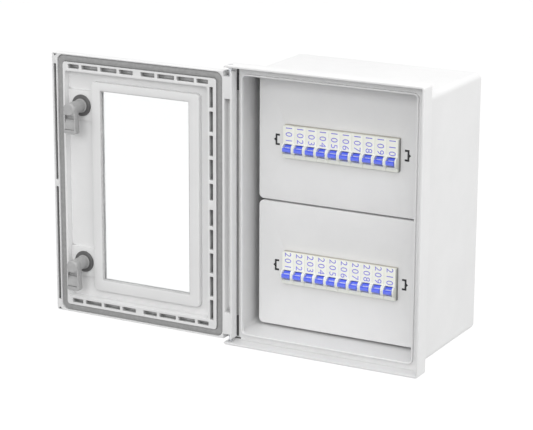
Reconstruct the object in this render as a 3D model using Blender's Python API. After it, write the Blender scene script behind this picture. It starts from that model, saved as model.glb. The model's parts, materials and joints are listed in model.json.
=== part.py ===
"""DC combiner box: a wall-mounted moulded enclosure with two rows of breakers and its door swung open.

Seen from the front, +X is to the right, +Z is up and -Y comes towards the viewer. The origin is the centre
of the rear face, which lies against the wall. All lengths are in metres and all angles in degrees.
"""
import math

import bmesh
import bpy
from mathutils import Matrix, Vector

GAP = 0.0003                    # clearance between pieces that touch
CORNER_STEPS = 5                # segments of a rounded corner
ROUND_STEPS = 32                # segments of a full circle
SMALL_ROUND_STEPS = 16          # segments of a screw hole, a boss or a pin hole
OVERCUT = 0.002                 # a cutter reaches this far past the face it cuts

# Enclosure base. A depth is measured backwards from the collar's front edge.
BOX_DEPTH = 0.207
COLLAR_HALF_WIDTH = 0.150
COLLAR_HALF_HEIGHT = 0.200
COLLAR_DEPTH = 0.0252
COLLAR_WALL = 0.003
COLLAR_CORNER = 0.004
BODY_HALF_WIDTH = 0.144
BODY_BOTTOM = -0.189
BODY_TOP = 0.183
BODY_WALL = 0.003
BODY_CORNER = 0.009
REAR_EDGE = 0.0025
THROAT_TOP = 0.1873             # the roof rises to this height where it meets the collar
THROAT_BOTTOM = -0.1866
FLARE_DEPTH = 0.038
WEB_DEPTH = 0.0226
LIP_DEPTH = 0.0189
LIP_HALF_WIDTH = 0.1333
LIP_BOTTOM = -0.1887
LIP_TOP = 0.1864
LIP_WALL = 0.0025
LIP_CORNER = 0.008
WALL_HOLE_X = 0.120
WALL_HOLE_Z = 0.168
WALL_HOLE_RADIUS = 0.0035
HINGE_SIDE_CUT = 0.0012         # the missing collar wall is cut away up to this far from the lip
HINGE_CHANNEL_X = (-0.1405, -0.1365)
HINGE_CHANNEL_HALF_HEIGHT = 0.193
HINGE_CHANNEL_DEPTH = 0.0016

# Mounting frame, its bosses and the two rails
BOSS_X = 0.109
BOSS_Z = 0.152
BOSS_RADIUS = 0.007
FRAME_DEPTH = 0.130
FRAME_PLATE = 0.002
FRAME_OUTER_X = 0.119
FRAME_INNER_X = 0.099
FRAME_OUTER_Z = 0.170
FRAME_INNER_Z = 0.140
FRAME_CUT_CORNER = 0.004
FLANGE_HALF_LENGTH = 0.075
FLANGE_MARGIN = 0.0005
RAIL_HALF_LENGTH = 0.114
RAIL_HALF_HEIGHT = 0.0175
RAIL_WEB_HALF_HEIGHT = 0.0135
RAIL_STEP = 0.0065
RAIL_SHEET = 0.001
RAIL_DEPTH = FRAME_DEPTH - GAP

# Cover panels
COVER_DEPTH = 0.0656
COVER_HALF_WIDTH = 0.129
COVER_SHEET = 0.003
COVER_SKIRT = 0.014
COVER_WALL = 0.0025
COVER_CORNER = 0.007
COVER_EDGE_ROUND = 0.001
COVER_SPANS = {"lower": (-0.182, -0.0013), "upper": (0.0014, 0.179)}
COVER_SLOT_MARGIN = 0.0007
CLIP_X = {-1: 0.1035, 1: 0.1010}    # outer edge of the left and right clip slots, from the middle
CLIP_HALF_HEIGHT = 0.0082
CLIP_TICK = 0.0070
CLIP_LINE = 0.0030
CLIP_NIB = 0.0024

# Breakers: ten in each row
BREAKERS_PER_ROW = 10
ROW_HEIGHTS = {1: 0.0888, 2: -0.0930}
MODULE_PITCH = 0.0175
BREAKER_HALF_WIDTH = 0.0086
FACE_DEPTH = 0.0576
FACE_HALF_HEIGHT = 0.0227
SHOULDER_DEPTH = 0.075
SHOULDER_HALF_HEIGHT = 0.041
BREAKER_BACK = 0.127
CHEEK_DEPTH = 0.0516
CHEEK_HALF_HEIGHT = 0.0071
CHEEK_BLUNTNESS = 0.6           # below 1 the cheek's arc is fuller than a half ellipse
TOGGLE_HEIGHT = -0.0100         # the toggle's axis, from the row's centre line
TOGGLE_DEPTH = 0.0610
DRUM_RADIUS = 0.0055
DRUM_SLOT_RADIUS = 0.0060
SLOT_MOUTH = (0.0014, 0.0012)   # how much wider than round its drum the slot is at the cheeks and the face
TOGGLE_HALF_WIDTH = 0.0060
TOGGLE_SLOT_HALF_WIDTH = 0.0064
LEVER_REACH = 0.0113
LEVER_HALF_HEIGHT = 0.0031
LEVER_CHAMFERS = (0.0012, 0.0006)

# Door, measured while it stands open: s runs outwards from its hinge edge, t backwards from its inner face
DOOR_EDGE_X = -0.1365
DOOR_WIDTH = 0.2935
DOOR_HALF_HEIGHT = 0.1917
DOOR_THICKNESS = 0.0152
DOOR_CORNER = 0.003
DOOR_EDGE_ROUND = 0.0025
DOOR_EDGE_CHAMFER = 0.0006
PIVOT_S = 0.0069
PIVOT_T = 0.010
PIN_RADIUS = 0.003
PIN_HOLE_RADIUS = 0.0033
PIN_LOW = 0.166
PIN_HIGH = 0.1995
BLOCK_LOW = 0.1536
BLOCK_HIGH = 0.1843
GROOVE_S = (0.0150, 0.2850)
GROOVE_HALF_HEIGHT = 0.1898
GROOVE_WIDTH = 0.0101
GROOVE_T = 0.008
GROOVE_OUTER_CORNER = 0.010
GROOVE_INNER_CORNER = 0.004
GASKET_T = 0.0014
RECESS_S = (0.0385, 0.2725)
RECESS_HALF_HEIGHT = 0.1668
RECESS_T = 0.0123
RECESS_CORNER = 0.003
POCKET_T = 0.010
HINGE_POCKET_T = 0.012
RIB_CENTRE_S = 0.15215
SIDE_POCKETS = (0.0240, 0.0293, 0.0293, 0.0293, 0.0293)
SIDE_POCKET_S = (0.0297, 0.0355)
SIDE_POCKET_GAP = 0.0049
SIDE_CENTRE_GAP = 0.0133
END_POCKETS = (0.0227, 0.0275, 0.0275, 0.0183)
END_POCKET_Z = (0.1709, 0.1770)
END_POCKET_GAP = 0.0041
END_CENTRE_GAP = 0.0127
EDGE_POCKETS = (0.1705,)
EDGE_POCKET_S = (0.2869, 0.2911)
EDGE_CENTRE_GAP = 0.0102
HINGE_POCKET_S = (0.0025, 0.0116)
NOTCH_S = (0.0025, 0.0135)
NOTCH_SKIN = 0.0015

# Window
WINDOW_S = (0.0700, 0.2165)
WINDOW_CENTRE = 0.0025
WINDOW_HALF_HEIGHT = 0.1402
WINDOW_CORNER = 0.002
PANE_BORDER = 0.0078
PANE_THICKNESS = 0.0027
FRAME_S = (0.0545, 0.2310)
FRAME_HALF_HEIGHT = 0.1540
FRAME_CORNER = 0.006
FRAME_T = 0.004
FRAME_EDGE_ROUND = 0.0012

# Locks
LOCK_S = 0.2507
LOCK_HEIGHTS = {"upper": 0.117, "lower": -0.115}
PAD_S = (0.2316, 0.2725)
PAD_HALF_HEIGHT = 0.022
PAD_T = 0.0098
LOCK_RADIUS = 0.009
LOCK_FLANGE_RADIUS = 0.013
LOCK_FLANGE = 0.002
LOCK_BORE_RADIUS = 0.0048
LOCK_MOUTH_RADIUS = 0.0068
LOCK_MOUTH_DEPTH = 0.005
LOCK_CHAMFER = 0.0005
NUT_RADIUS = 0.0156
NUT_THICKNESS = 0.0028
SPINDLE_RADIUS = 0.0045
SPINDLE_DISC_RADIUS = 0.0088
SPINDLE_DISC = 0.0012
KEY_BIT_HALF_WIDTH = 0.0014
KEY_BIT_HALF_HEIGHT = 0.0038
KEY_BIT_SETBACK = 0.0012        # from the lock's outer face to the end of the key bit
CAM_FRONT_T = -0.0235
CAM_BACK_T = -0.0120
CAM_REACH = 0.036
CAM_HALF_WIDTH = 0.010
CAM_HUB_RADIUS = 0.0092
CAM_HUB_TURN = 15               # the hub's arc runs this far below its own middle, in degrees
CAM_CORNER = 0.0025
CAM_POCKET = (0.0150, 0.0098)
CAM_POCKET_HALF_WIDTH = 0.0068
CAM_FLOOR = 0.004

SURFACES = {
    "enclosure_grey": ((0.80, 0.80, 0.79), 0.42, 0.0),
    "cover_grey": ((0.72, 0.72, 0.71), 0.45, 0.0),
    "breaker_white": ((0.84, 0.84, 0.80), 0.38, 0.0),
    "toggle_blue": ((0.06, 0.08, 0.72), 0.35, 0.0),
    "gasket_grey": ((0.26, 0.26, 0.26), 0.85, 0.0),
    "window_clear": ((0.95, 0.97, 0.97), 0.05, 0.0),
    "lock_metal": ((0.42, 0.42, 0.42), 0.35, 1.0),
    "nut_dark": ((0.10, 0.10, 0.10), 0.50, 0.0),
    "zinc_steel": ((0.62, 0.63, 0.64), 0.35, 1.0),
}


def front(depth):
    """World Y of a depth measured back from the collar's front edge."""
    return depth - BOX_DEPTH


def door_x(distance):
    """World X of a distance s from the door's hinge edge, with the door open."""
    return DOOR_EDGE_X - distance


# Objects ---------------------------------------------------------------------------------------------

def clear_scene():
    for old in list(bpy.data.objects):
        bpy.data.objects.remove(old, do_unlink=True)


def surface(name):
    """The Principled material of that name, made on first use."""
    if name in bpy.data.materials:
        return bpy.data.materials[name]
    colour, roughness, metallic = SURFACES[name]
    material = bpy.data.materials.new(name)
    material.use_nodes = True
    shader = material.node_tree.nodes["Principled BSDF"]
    shader.inputs["Base Color"].default_value = (*colour, 1.0)
    shader.inputs["Roughness"].default_value = roughness
    shader.inputs["Metallic"].default_value = metallic
    return material


def new_object(name, mesh, material=None, origin=(0, 0, 0), parent=None):
    """An object for a mesh given in world coordinates, with its origin put at a point.

    A piece with a parent takes the parent empty's own place as its origin.
    """
    if parent is not None:
        origin = parent.matrix_world.translation.copy()
    mesh.transform(Matrix.Translation(-Vector(origin)))
    mesh.name = name
    piece = bpy.data.objects.new(name, mesh)
    bpy.context.collection.objects.link(piece)
    piece.parent = parent
    piece.location = (0, 0, 0) if parent is not None else origin
    if material is not None:
        mesh.materials.append(surface(material))
    return piece


def axis_empty(name, place, parent=None):
    """An empty on a joint's axis."""
    empty = bpy.data.objects.new(name, None)
    bpy.context.collection.objects.link(empty)
    empty.empty_display_size = 0.02
    empty.parent = parent
    empty.location = Vector(place) - (parent.matrix_world.translation if parent else Vector())
    bpy.context.view_layer.update()
    return empty


def boolean(piece, mesh, operation="DIFFERENCE"):
    """Cut a mesh out of a piece, or join it on, through a hidden guide object."""
    origin = piece.matrix_world.translation
    guide = new_object(piece.name + "_guide", mesh, origin=origin, parent=piece.parent)
    guide.hide_render = True
    guide.display_type = "WIRE"
    modifier = piece.modifiers.new(operation.lower(), "BOOLEAN")
    modifier.operation = operation
    modifier.solver = "EXACT"
    modifier.object = guide


def shade(piece, angle=35.0):
    """Smooth shading on round faces, with edges sharper than the angle kept crisp."""
    piece.data.shade_smooth()
    piece.data.set_sharp_from_angle(angle=math.radians(angle))


# Meshes ----------------------------------------------------------------------------------------------

def finish(work):
    """Turn a bmesh into a mesh with its faces pointing out."""
    bmesh.ops.recalc_face_normals(work, faces=work.faces)
    mesh = bpy.data.meshes.new("shape")
    work.to_mesh(mesh)
    work.free()
    return mesh


def rounded_rectangle(x_span, z_span, radius, inset=0.0):
    """Points (x, z) round a rectangle with round corners, set in from its edges by an inset."""
    x_low, x_high = x_span[0] + inset, x_span[1] - inset
    z_low, z_high = z_span[0] + inset, z_span[1] - inset
    radius = max(radius - inset, 0.0002)
    centres = (
        (x_high - radius, z_high - radius, 0),
        (x_low + radius, z_high - radius, 90),
        (x_low + radius, z_low + radius, 180),
        (x_high - radius, z_low + radius, 270),
    )
    points = []
    for centre_x, centre_z, start in centres:
        for step in range(CORNER_STEPS + 1):
            angle = math.radians(start + 90 * step / CORNER_STEPS)
            points.append((centre_x + radius * math.cos(angle), centre_z + radius * math.sin(angle)))
    return points


def loft(sections, closed=False):
    """A closed body through sections, each a depth in Y with its outline of (x, z) points."""
    work = bmesh.new()
    rings = [[work.verts.new((x, y, z)) for x, z in outline] for y, outline in sections]
    following = rings[1:] + rings[:1] if closed else rings[1:]
    for ring, other in zip(rings, following):
        for index in range(len(ring)):
            after = (index + 1) % len(ring)
            work.faces.new((ring[index], ring[after], other[after], other[index]))
    if not closed:
        work.faces.new(rings[0])
        work.faces.new(rings[-1])
    return finish(work)


def boxes(spans):
    """A mesh of separate boxes, each given by its spans along X, Y and Z."""
    work = bmesh.new()
    for span in spans:
        low = Vector(min(pair) for pair in span)
        high = Vector(max(pair) for pair in span)
        place = Matrix.Translation((low + high) / 2) @ Matrix.Diagonal((*(high - low), 1))
        bmesh.ops.create_cube(work, size=1.0, matrix=place)
    return finish(work)


def rods(places, radius, length, axis, steps=ROUND_STEPS):
    """A mesh of separate rods of one size, each centred on a place, along Y or Z."""
    turn = Matrix.Rotation(math.radians(90), 4, "X") if axis == "Y" else Matrix.Identity(4)
    work = bmesh.new()
    for place in places:
        bmesh.ops.create_cone(work, cap_ends=True, segments=steps, radius1=radius, radius2=radius,
                              depth=length, matrix=Matrix.Translation(place) @ turn)
    return finish(work)


def turned(profile, centre, steps=ROUND_STEPS):
    """A body turned about an axis along Y through a centre, from (radius, y) points of a closed profile."""
    centre_x, centre_z = centre
    work = bmesh.new()
    rings = []
    for step in range(steps):
        angle = 2 * math.pi * step / steps
        rings.append([work.verts.new((centre_x + radius * math.cos(angle), y,
                                      centre_z + radius * math.sin(angle))) for radius, y in profile])
    for ring, other in zip(rings, rings[1:] + rings[:1]):
        for index in range(len(profile)):
            after = (index + 1) % len(profile)
            work.faces.new((ring[index], ring[after], other[after], other[index]))
    return finish(work)


def extruded_profile(profile, x_span):
    """A body with one (y, z) outline, extruded along X."""
    work = bmesh.new()
    ends = [[work.verts.new((x, y, z)) for y, z in profile] for x in x_span]
    for index in range(len(profile)):
        after = (index + 1) % len(profile)
        work.faces.new((ends[0][index], ends[0][after], ends[1][after], ends[1][index]))
    work.faces.new(ends[0])
    work.faces.new(ends[1])
    return finish(work)


def arc(centre, radius, start, end, steps):
    """Points on an arc, both ends included, with angles in degrees."""
    points = []
    for step in range(steps + 1):
        angle = math.radians(start + (end - start) * step / steps)
        points.append((centre[0] + radius * math.cos(angle), centre[1] + radius * math.sin(angle)))
    return points


def edge_round(face_depth, radius, direction, steps=3):
    """(depth, inset) pairs of a rounded edge, from the face to the full outline behind it."""
    pairs = []
    for step in range(steps + 1):
        angle = math.radians(90 * step / steps)
        depth = face_depth + direction * radius * (1 - math.cos(angle))
        pairs.append((depth, radius * (1 - math.sin(angle))))
    return pairs


def spans_from_centre(lengths, gap, centre_gap):
    """Spans of a row of pockets, mirrored about zero."""
    spans = []
    start = centre_gap / 2
    for length in lengths:
        spans.append((start, start + length))
        spans.append((-start - length, -start))
        start += length + gap
    return spans


# Enclosure and its inner structure ---------------------------------------------------------------------

def build_enclosure():
    """The moulded box: body, wide collar with no wall on the hinge side, and the raised sealing lip."""
    body = ((-BODY_HALF_WIDTH, BODY_HALF_WIDTH), (BODY_BOTTOM, BODY_TOP), BODY_CORNER)
    throat = ((-BODY_HALF_WIDTH, BODY_HALF_WIDTH), (BODY_BOTTOM, THROAT_TOP), BODY_CORNER)
    collar = ((-COLLAR_HALF_WIDTH, COLLAR_HALF_WIDTH), (-COLLAR_HALF_HEIGHT, COLLAR_HALF_HEIGHT),
              COLLAR_CORNER)
    lip = ((-LIP_HALF_WIDTH, LIP_HALF_WIDTH), (LIP_BOTTOM, LIP_TOP), LIP_CORNER)
    inner_throat = ((-BODY_HALF_WIDTH + BODY_WALL, BODY_HALF_WIDTH - BODY_WALL),
                    (THROAT_BOTTOM, THROAT_TOP - BODY_WALL), BODY_CORNER - BODY_WALL)
    sections = [(BOX_DEPTH - REAR_EDGE * (1 - math.cos(math.radians(angle))),
                 rounded_rectangle(*body, inset=REAR_EDGE * (1 - math.sin(math.radians(angle)))))
                for angle in (0, 30, 60, 90)]
    sections += [
        (FLARE_DEPTH, rounded_rectangle(*body)),
        (COLLAR_DEPTH, rounded_rectangle(*throat)),
        (COLLAR_DEPTH, rounded_rectangle(*collar)),
        (0.0, rounded_rectangle(*collar)),
        (0.0, rounded_rectangle(*collar, inset=COLLAR_WALL)),
        (WEB_DEPTH, rounded_rectangle(*collar, inset=COLLAR_WALL)),
        (WEB_DEPTH, rounded_rectangle(*lip)),
        (LIP_DEPTH, rounded_rectangle(*lip)),
        (LIP_DEPTH, rounded_rectangle(*lip, inset=LIP_WALL)),
        (COLLAR_DEPTH, rounded_rectangle(*lip, inset=LIP_WALL)),
        (COLLAR_DEPTH, rounded_rectangle(*inner_throat)),
        (FLARE_DEPTH, rounded_rectangle(*body, inset=BODY_WALL)),
        (BOX_DEPTH - BODY_WALL, rounded_rectangle(*body, inset=BODY_WALL)),
    ]
    piece = new_object("enclosure_base", loft([(front(depth), outline) for depth, outline in sections]),
                       "enclosure_grey")
    hinge_side = ((-COLLAR_HALF_WIDTH - OVERCUT, -LIP_HALF_WIDTH - HINGE_SIDE_CUT),
                  (front(-OVERCUT), front(WEB_DEPTH)),
                  (-COLLAR_HALF_HEIGHT + COLLAR_WALL, COLLAR_HALF_HEIGHT - COLLAR_WALL))
    boolean(piece, boxes([hinge_side]))
    channel = (HINGE_CHANNEL_X, (front(WEB_DEPTH - OVERCUT), front(WEB_DEPTH + HINGE_CHANNEL_DEPTH)),
               (-HINGE_CHANNEL_HALF_HEIGHT, HINGE_CHANNEL_HALF_HEIGHT))
    boolean(piece, boxes([channel]))
    pin_holes = [(door_x(PIVOT_S), front(PIVOT_T), side * COLLAR_HALF_HEIGHT) for side in (-1, 1)]
    boolean(piece, rods(pin_holes, PIN_HOLE_RADIUS, 4 * COLLAR_WALL, "Z", SMALL_ROUND_STEPS))
    boss_low, boss_high = front(FRAME_DEPTH + FRAME_PLATE + GAP), front(BOX_DEPTH - BODY_WALL / 2)
    bosses = [(x, (boss_low + boss_high) / 2, z) for x in (-BOSS_X, BOSS_X) for z in (-BOSS_Z, BOSS_Z)]
    boolean(piece, rods(bosses, BOSS_RADIUS, boss_high - boss_low, "Y", SMALL_ROUND_STEPS), "UNION")
    wall_holes = [(x, front(BOX_DEPTH), z) for x in (-WALL_HOLE_X, WALL_HOLE_X)
                  for z in (-WALL_HOLE_Z, WALL_HOLE_Z)]
    boolean(piece, rods(wall_holes, WALL_HOLE_RADIUS, 4 * BODY_WALL, "Y", SMALL_ROUND_STEPS))
    shade(piece)


def build_mounting_frame():
    """A plate frame on the floor's bosses, with folded flanges that reach the cover panels."""
    outer = ((-FRAME_OUTER_X, FRAME_OUTER_X), (-FRAME_OUTER_Z, FRAME_OUTER_Z), FRAME_CUT_CORNER)
    inner = ((-FRAME_INNER_X, FRAME_INNER_X), (-FRAME_INNER_Z, FRAME_INNER_Z), FRAME_CUT_CORNER)
    plate = [(front(FRAME_DEPTH), rounded_rectangle(*outer)),
             (front(FRAME_DEPTH + FRAME_PLATE), rounded_rectangle(*outer)),
             (front(FRAME_DEPTH + FRAME_PLATE), rounded_rectangle(*inner)),
             (front(FRAME_DEPTH), rounded_rectangle(*inner))]
    piece = new_object("mounting_frame", loft(plate, closed=True), "zinc_steel")
    flanges = []
    flange_outer = FRAME_OUTER_X - FLANGE_MARGIN
    flange_depth = (front(COVER_DEPTH + COVER_SHEET + GAP), front(FRAME_DEPTH + FRAME_PLATE / 2))
    for low, high in COVER_SPANS.values():
        centre = (low + high) / 2
        for side in (-1, 1):
            flanges.append(((side * flange_outer, side * (flange_outer - FRAME_PLATE)), flange_depth,
                            (centre - FLANGE_HALF_LENGTH, centre + FLANGE_HALF_LENGTH)))
    boolean(piece, boxes(flanges), "UNION")


def build_rail(name, height):
    """A top-hat rail, its web against the frame and its two lips towards the front."""
    half = RAIL_HALF_HEIGHT
    web = RAIL_WEB_HALF_HEIGHT
    back = front(RAIL_DEPTH)
    lips = front(RAIL_DEPTH - RAIL_STEP - RAIL_SHEET)
    upper_half = [(back, 0), (back, web), (lips + RAIL_SHEET, web), (lips + RAIL_SHEET, half), (lips, half),
                  (lips, web - RAIL_SHEET), (back - RAIL_SHEET, web - RAIL_SHEET), (back - RAIL_SHEET, 0)]
    lower_half = [(y, -z) for y, z in reversed(upper_half[1:-1])]
    profile = [(y, z + height) for y, z in upper_half[1:-1] + lower_half]
    new_object(name, extruded_profile(profile, (-RAIL_HALF_LENGTH, RAIL_HALF_LENGTH)), "zinc_steel")


def clip_slot(side, height):
    """Outline of one bracket-shaped clip slot, with its nib on the outer side."""
    outer, inner = CLIP_X[side], CLIP_X[side] - CLIP_TICK
    half, line = CLIP_HALF_HEIGHT, CLIP_LINE
    outline = [(inner, half), (inner, half - line), (outer - line, half - line), (outer - line, line - half),
               (inner, line - half), (inner, -half), (outer, -half), (outer, -CLIP_NIB),
               (outer + CLIP_NIB, 0), (outer, CLIP_NIB), (outer, half)]
    return [(side * x, height + z) for x, z in outline]


def build_cover(name, span, row_height):
    """A shallow tray over one row, with the breakers' slot and two clip slots through its face."""
    outline = ((-COVER_HALF_WIDTH, COVER_HALF_WIDTH), span, COVER_CORNER)
    sections = [(COVER_DEPTH + depth, rounded_rectangle(*outline, inset=inset))
                for depth, inset in edge_round(0.0, COVER_EDGE_ROUND, 1, steps=2)]
    sections += [
        (COVER_DEPTH + COVER_SKIRT, rounded_rectangle(*outline)),
        (COVER_DEPTH + COVER_SKIRT, rounded_rectangle(*outline, inset=COVER_WALL)),
        (COVER_DEPTH + COVER_SHEET, rounded_rectangle(*outline, inset=COVER_WALL)),
    ]
    piece = new_object(name, loft([(front(depth), points) for depth, points in sections]), "cover_grey")
    half_row = BREAKERS_PER_ROW * MODULE_PITCH / 2 + COVER_SLOT_MARGIN
    half_face = FACE_HALF_HEIGHT + COVER_SLOT_MARGIN
    cut_depth = (front(COVER_DEPTH - OVERCUT), front(COVER_DEPTH + COVER_SHEET + OVERCUT))
    slot = ((-half_row, half_row), cut_depth, (row_height - half_face, row_height + half_face))
    boolean(piece, boxes([slot]))
    for side in (-1, 1):
        points = clip_slot(side, row_height)
        boolean(piece, loft([(y, points) for y in cut_depth]))
    shade(piece)


# Breakers ----------------------------------------------------------------------------------------------

def breaker_profile():
    """Side outline (y, z) of a breaker about its row's centre line: rail notch, shoulders, face, cheeks."""
    lips_front = RAIL_DEPTH - RAIL_STEP - RAIL_SHEET
    hook_depth = lips_front + RAIL_SHEET + GAP
    hook_height = RAIL_HALF_HEIGHT + GAP
    hook_reach = RAIL_WEB_HALF_HEIGHT + 0.0015
    upper_rear = [(lips_front - GAP, hook_height), (hook_depth, hook_height), (hook_depth, hook_reach),
                  (BREAKER_BACK, hook_reach), (BREAKER_BACK, SHOULDER_HALF_HEIGHT),
                  (SHOULDER_DEPTH, SHOULDER_HALF_HEIGHT), (SHOULDER_DEPTH, FACE_HALF_HEIGHT)]
    lower_rear = [(depth, -height) for depth, height in reversed(upper_rear)]
    bulge = FACE_DEPTH - CHEEK_DEPTH
    cheek = [(FACE_DEPTH - bulge * math.sin(math.radians(angle)) ** CHEEK_BLUNTNESS,
              TOGGLE_HEIGHT + CHEEK_HALF_HEIGHT * math.cos(math.radians(angle)))
             for angle in range(0, 181, 20)]
    nose = [(FACE_DEPTH, FACE_HALF_HEIGHT)] + cheek + [(FACE_DEPTH, -FACE_HALF_HEIGHT)]
    return [(front(depth), height) for depth, height in upper_rear + nose + lower_rear]


def breaker_body_mesh():
    """One breaker body about its row's centre, with the slot for its toggle cut out."""
    profile = breaker_profile()
    work = new_object("breaker", extruded_profile(profile, (-BREAKER_HALF_WIDTH, BREAKER_HALF_WIDTH)))
    mouth = [(CHEEK_DEPTH - OVERCUT, TOGGLE_HEIGHT + DRUM_SLOT_RADIUS + SLOT_MOUTH[0]),
             (FACE_DEPTH, TOGGLE_HEIGHT + DRUM_SLOT_RADIUS + SLOT_MOUTH[1])]
    drum = arc((TOGGLE_DEPTH, TOGGLE_HEIGHT), DRUM_SLOT_RADIUS, 60, -60, 12)
    lower_mouth = [(depth, 2 * TOGGLE_HEIGHT - height) for depth, height in reversed(mouth)]
    outline = [(front(depth), height) for depth, height in mouth + drum + lower_mouth]
    boolean(work, extruded_profile(outline, (-TOGGLE_SLOT_HALF_WIDTH, TOGGLE_SLOT_HALF_WIDTH)))
    evaluated = work.evaluated_get(bpy.context.evaluated_depsgraph_get())
    mesh = bpy.data.meshes.new_from_object(evaluated)
    for scratch in (work, bpy.data.objects["breaker_guide"]):
        bpy.data.objects.remove(scratch, do_unlink=True)
    mesh.materials.append(surface("breaker_white"))
    return mesh


def toggle_mesh():
    """A drum about the X axis with a lever that stands straight out to the front."""
    root_angle = math.degrees(math.asin(LEVER_HALF_HEIGHT / DRUM_RADIUS))
    drum = arc((0, 0), DRUM_RADIUS, 180 - root_angle, root_angle - 180, 22)
    lower, upper = LEVER_CHAMFERS
    tip = [(-LEVER_REACH + lower, -LEVER_HALF_HEIGHT), (-LEVER_REACH, -LEVER_HALF_HEIGHT + lower),
           (-LEVER_REACH, LEVER_HALF_HEIGHT - upper), (-LEVER_REACH + upper, LEVER_HALF_HEIGHT)]
    mesh = extruded_profile(drum + tip, (-TOGGLE_HALF_WIDTH, TOGGLE_HALF_WIDTH))
    mesh.materials.append(surface("toggle_blue"))
    return mesh


def build_breakers():
    """Twenty breakers: a body on the rail and a toggle that turns on its own axis in each."""
    body_mesh = breaker_body_mesh()
    lever_mesh = toggle_mesh()
    for row, row_height in ROW_HEIGHTS.items():
        for way in range(1, BREAKERS_PER_ROW + 1):
            number = 100 * row + way
            x = (way - (BREAKERS_PER_ROW + 1) / 2) * MODULE_PITCH
            body = bpy.data.objects.new(f"breaker_body_{number}", body_mesh)
            body.location = (x, 0, row_height)
            toggle = bpy.data.objects.new(f"breaker_toggle_{number}", lever_mesh)
            toggle.location = (x, front(TOGGLE_DEPTH), row_height + TOGGLE_HEIGHT)
            for piece in (body, toggle):
                bpy.context.collection.objects.link(piece)
                shade(piece)


# Door --------------------------------------------------------------------------------------------------

def door_outline(s_span, half_height, radius, inset=0.0, centre=0.0):
    """A round-cornered outline on the door, from its span in s and its half height about a centre height."""
    x_span = (door_x(s_span[1]), door_x(s_span[0]))
    return rounded_rectangle(x_span, (centre - half_height, centre + half_height), radius, inset)


def groove_outlines(margin=0.0):
    """Outer and inner outlines of the gasket's groove, or of a ring that clears its walls by a margin."""
    outer = door_outline(GROOVE_S, GROOVE_HALF_HEIGHT, GROOVE_OUTER_CORNER, margin)
    inner_s = (GROOVE_S[0] + GROOVE_WIDTH, GROOVE_S[1] - GROOVE_WIDTH)
    inner = door_outline(inner_s, GROOVE_HALF_HEIGHT - GROOVE_WIDTH, GROOVE_INNER_CORNER, -margin)
    return outer, inner


def door_pockets():
    """Boxes of the moulded pockets in the ribs and the borders."""
    rib_depth = (front(-OVERCUT), front(POCKET_T))
    hinge_depth = (front(-OVERCUT), front(HINGE_POCKET_T))
    side_x = [door_x(s) for s in SIDE_POCKET_S]
    edge_x = [door_x(s) for s in EDGE_POCKET_S]
    hinge_x = [door_x(s) for s in HINGE_POCKET_S]
    pockets = [(side_x, rib_depth, span)
               for span in spans_from_centre(SIDE_POCKETS, SIDE_POCKET_GAP, SIDE_CENTRE_GAP)]
    for low, high in spans_from_centre(END_POCKETS, END_POCKET_GAP, END_CENTRE_GAP):
        x_span = (door_x(RIB_CENTRE_S + low), door_x(RIB_CENTRE_S + high))
        for side in (-1, 1):
            pockets.append((x_span, rib_depth, [side * z for z in END_POCKET_Z]))
    pockets += [(edge_x, rib_depth, span) for span in spans_from_centre(EDGE_POCKETS, 0, EDGE_CENTRE_GAP)]
    pockets.append((hinge_x, hinge_depth, (-BLOCK_LOW, BLOCK_LOW)))
    notch_x = [door_x(s) for s in NOTCH_S]
    notch_depth = (front(-OVERCUT), front(DOOR_THICKNESS - NOTCH_SKIN))
    for side in (-1, 1):
        pockets.append((notch_x, notch_depth, (side * BLOCK_HIGH, side * (DOOR_HALF_HEIGHT + OVERCUT))))
    return pockets


def build_door_shell(pivot):
    """The door's moulding: rim, gasket groove, ring of ribs, thin inner skin and the window opening."""
    outline = ((0.0, DOOR_WIDTH), DOOR_HALF_HEIGHT, DOOR_CORNER)
    sections = [(0.0, door_outline(*outline, inset=DOOR_EDGE_CHAMFER)),
                (DOOR_EDGE_CHAMFER, door_outline(*outline))]
    back = edge_round(DOOR_THICKNESS, DOOR_EDGE_ROUND, -1)
    sections += [(depth, door_outline(*outline, inset=inset)) for depth, inset in reversed(back)]
    piece = new_object("door_shell", loft([(front(depth), points) for depth, points in sections]),
                       "enclosure_grey", parent=pivot)
    outer, inner = groove_outlines()
    groove = [(front(-OVERCUT), outer), (front(GROOVE_T), outer), (front(GROOVE_T), inner),
              (front(-OVERCUT), inner)]
    boolean(piece, loft(groove, closed=True))
    recess = door_outline(RECESS_S, RECESS_HALF_HEIGHT, RECESS_CORNER)
    boolean(piece, loft([(front(-OVERCUT), recess), (front(RECESS_T), recess)]))
    pad_x = [door_x(s) for s in PAD_S]
    pads = [(pad_x, (front(PAD_T), front((RECESS_T + DOOR_THICKNESS) / 2)),
             (height - PAD_HALF_HEIGHT, height + PAD_HALF_HEIGHT)) for height in LOCK_HEIGHTS.values()]
    boolean(piece, boxes(pads), "UNION")
    window = door_outline(WINDOW_S, WINDOW_HALF_HEIGHT, WINDOW_CORNER, centre=WINDOW_CENTRE)
    boolean(piece, loft([(front(RECESS_T - OVERCUT), window), (front(DOOR_THICKNESS + OVERCUT), window)]))
    boolean(piece, boxes(door_pockets()))
    lock_holes = [(door_x(LOCK_S), front(RECESS_T), height) for height in LOCK_HEIGHTS.values()]
    boolean(piece, rods(lock_holes, LOCK_RADIUS + GAP, DOOR_THICKNESS, "Y"))
    bore_length = DOOR_HALF_HEIGHT - PIN_LOW + GAP
    bore_height = PIN_LOW - GAP + bore_length / 2
    bores = [(door_x(PIVOT_S), front(PIVOT_T), side * bore_height) for side in (-1, 1)]
    boolean(piece, rods(bores, PIN_HOLE_RADIUS, bore_length, "Z", SMALL_ROUND_STEPS))
    shade(piece)


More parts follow.
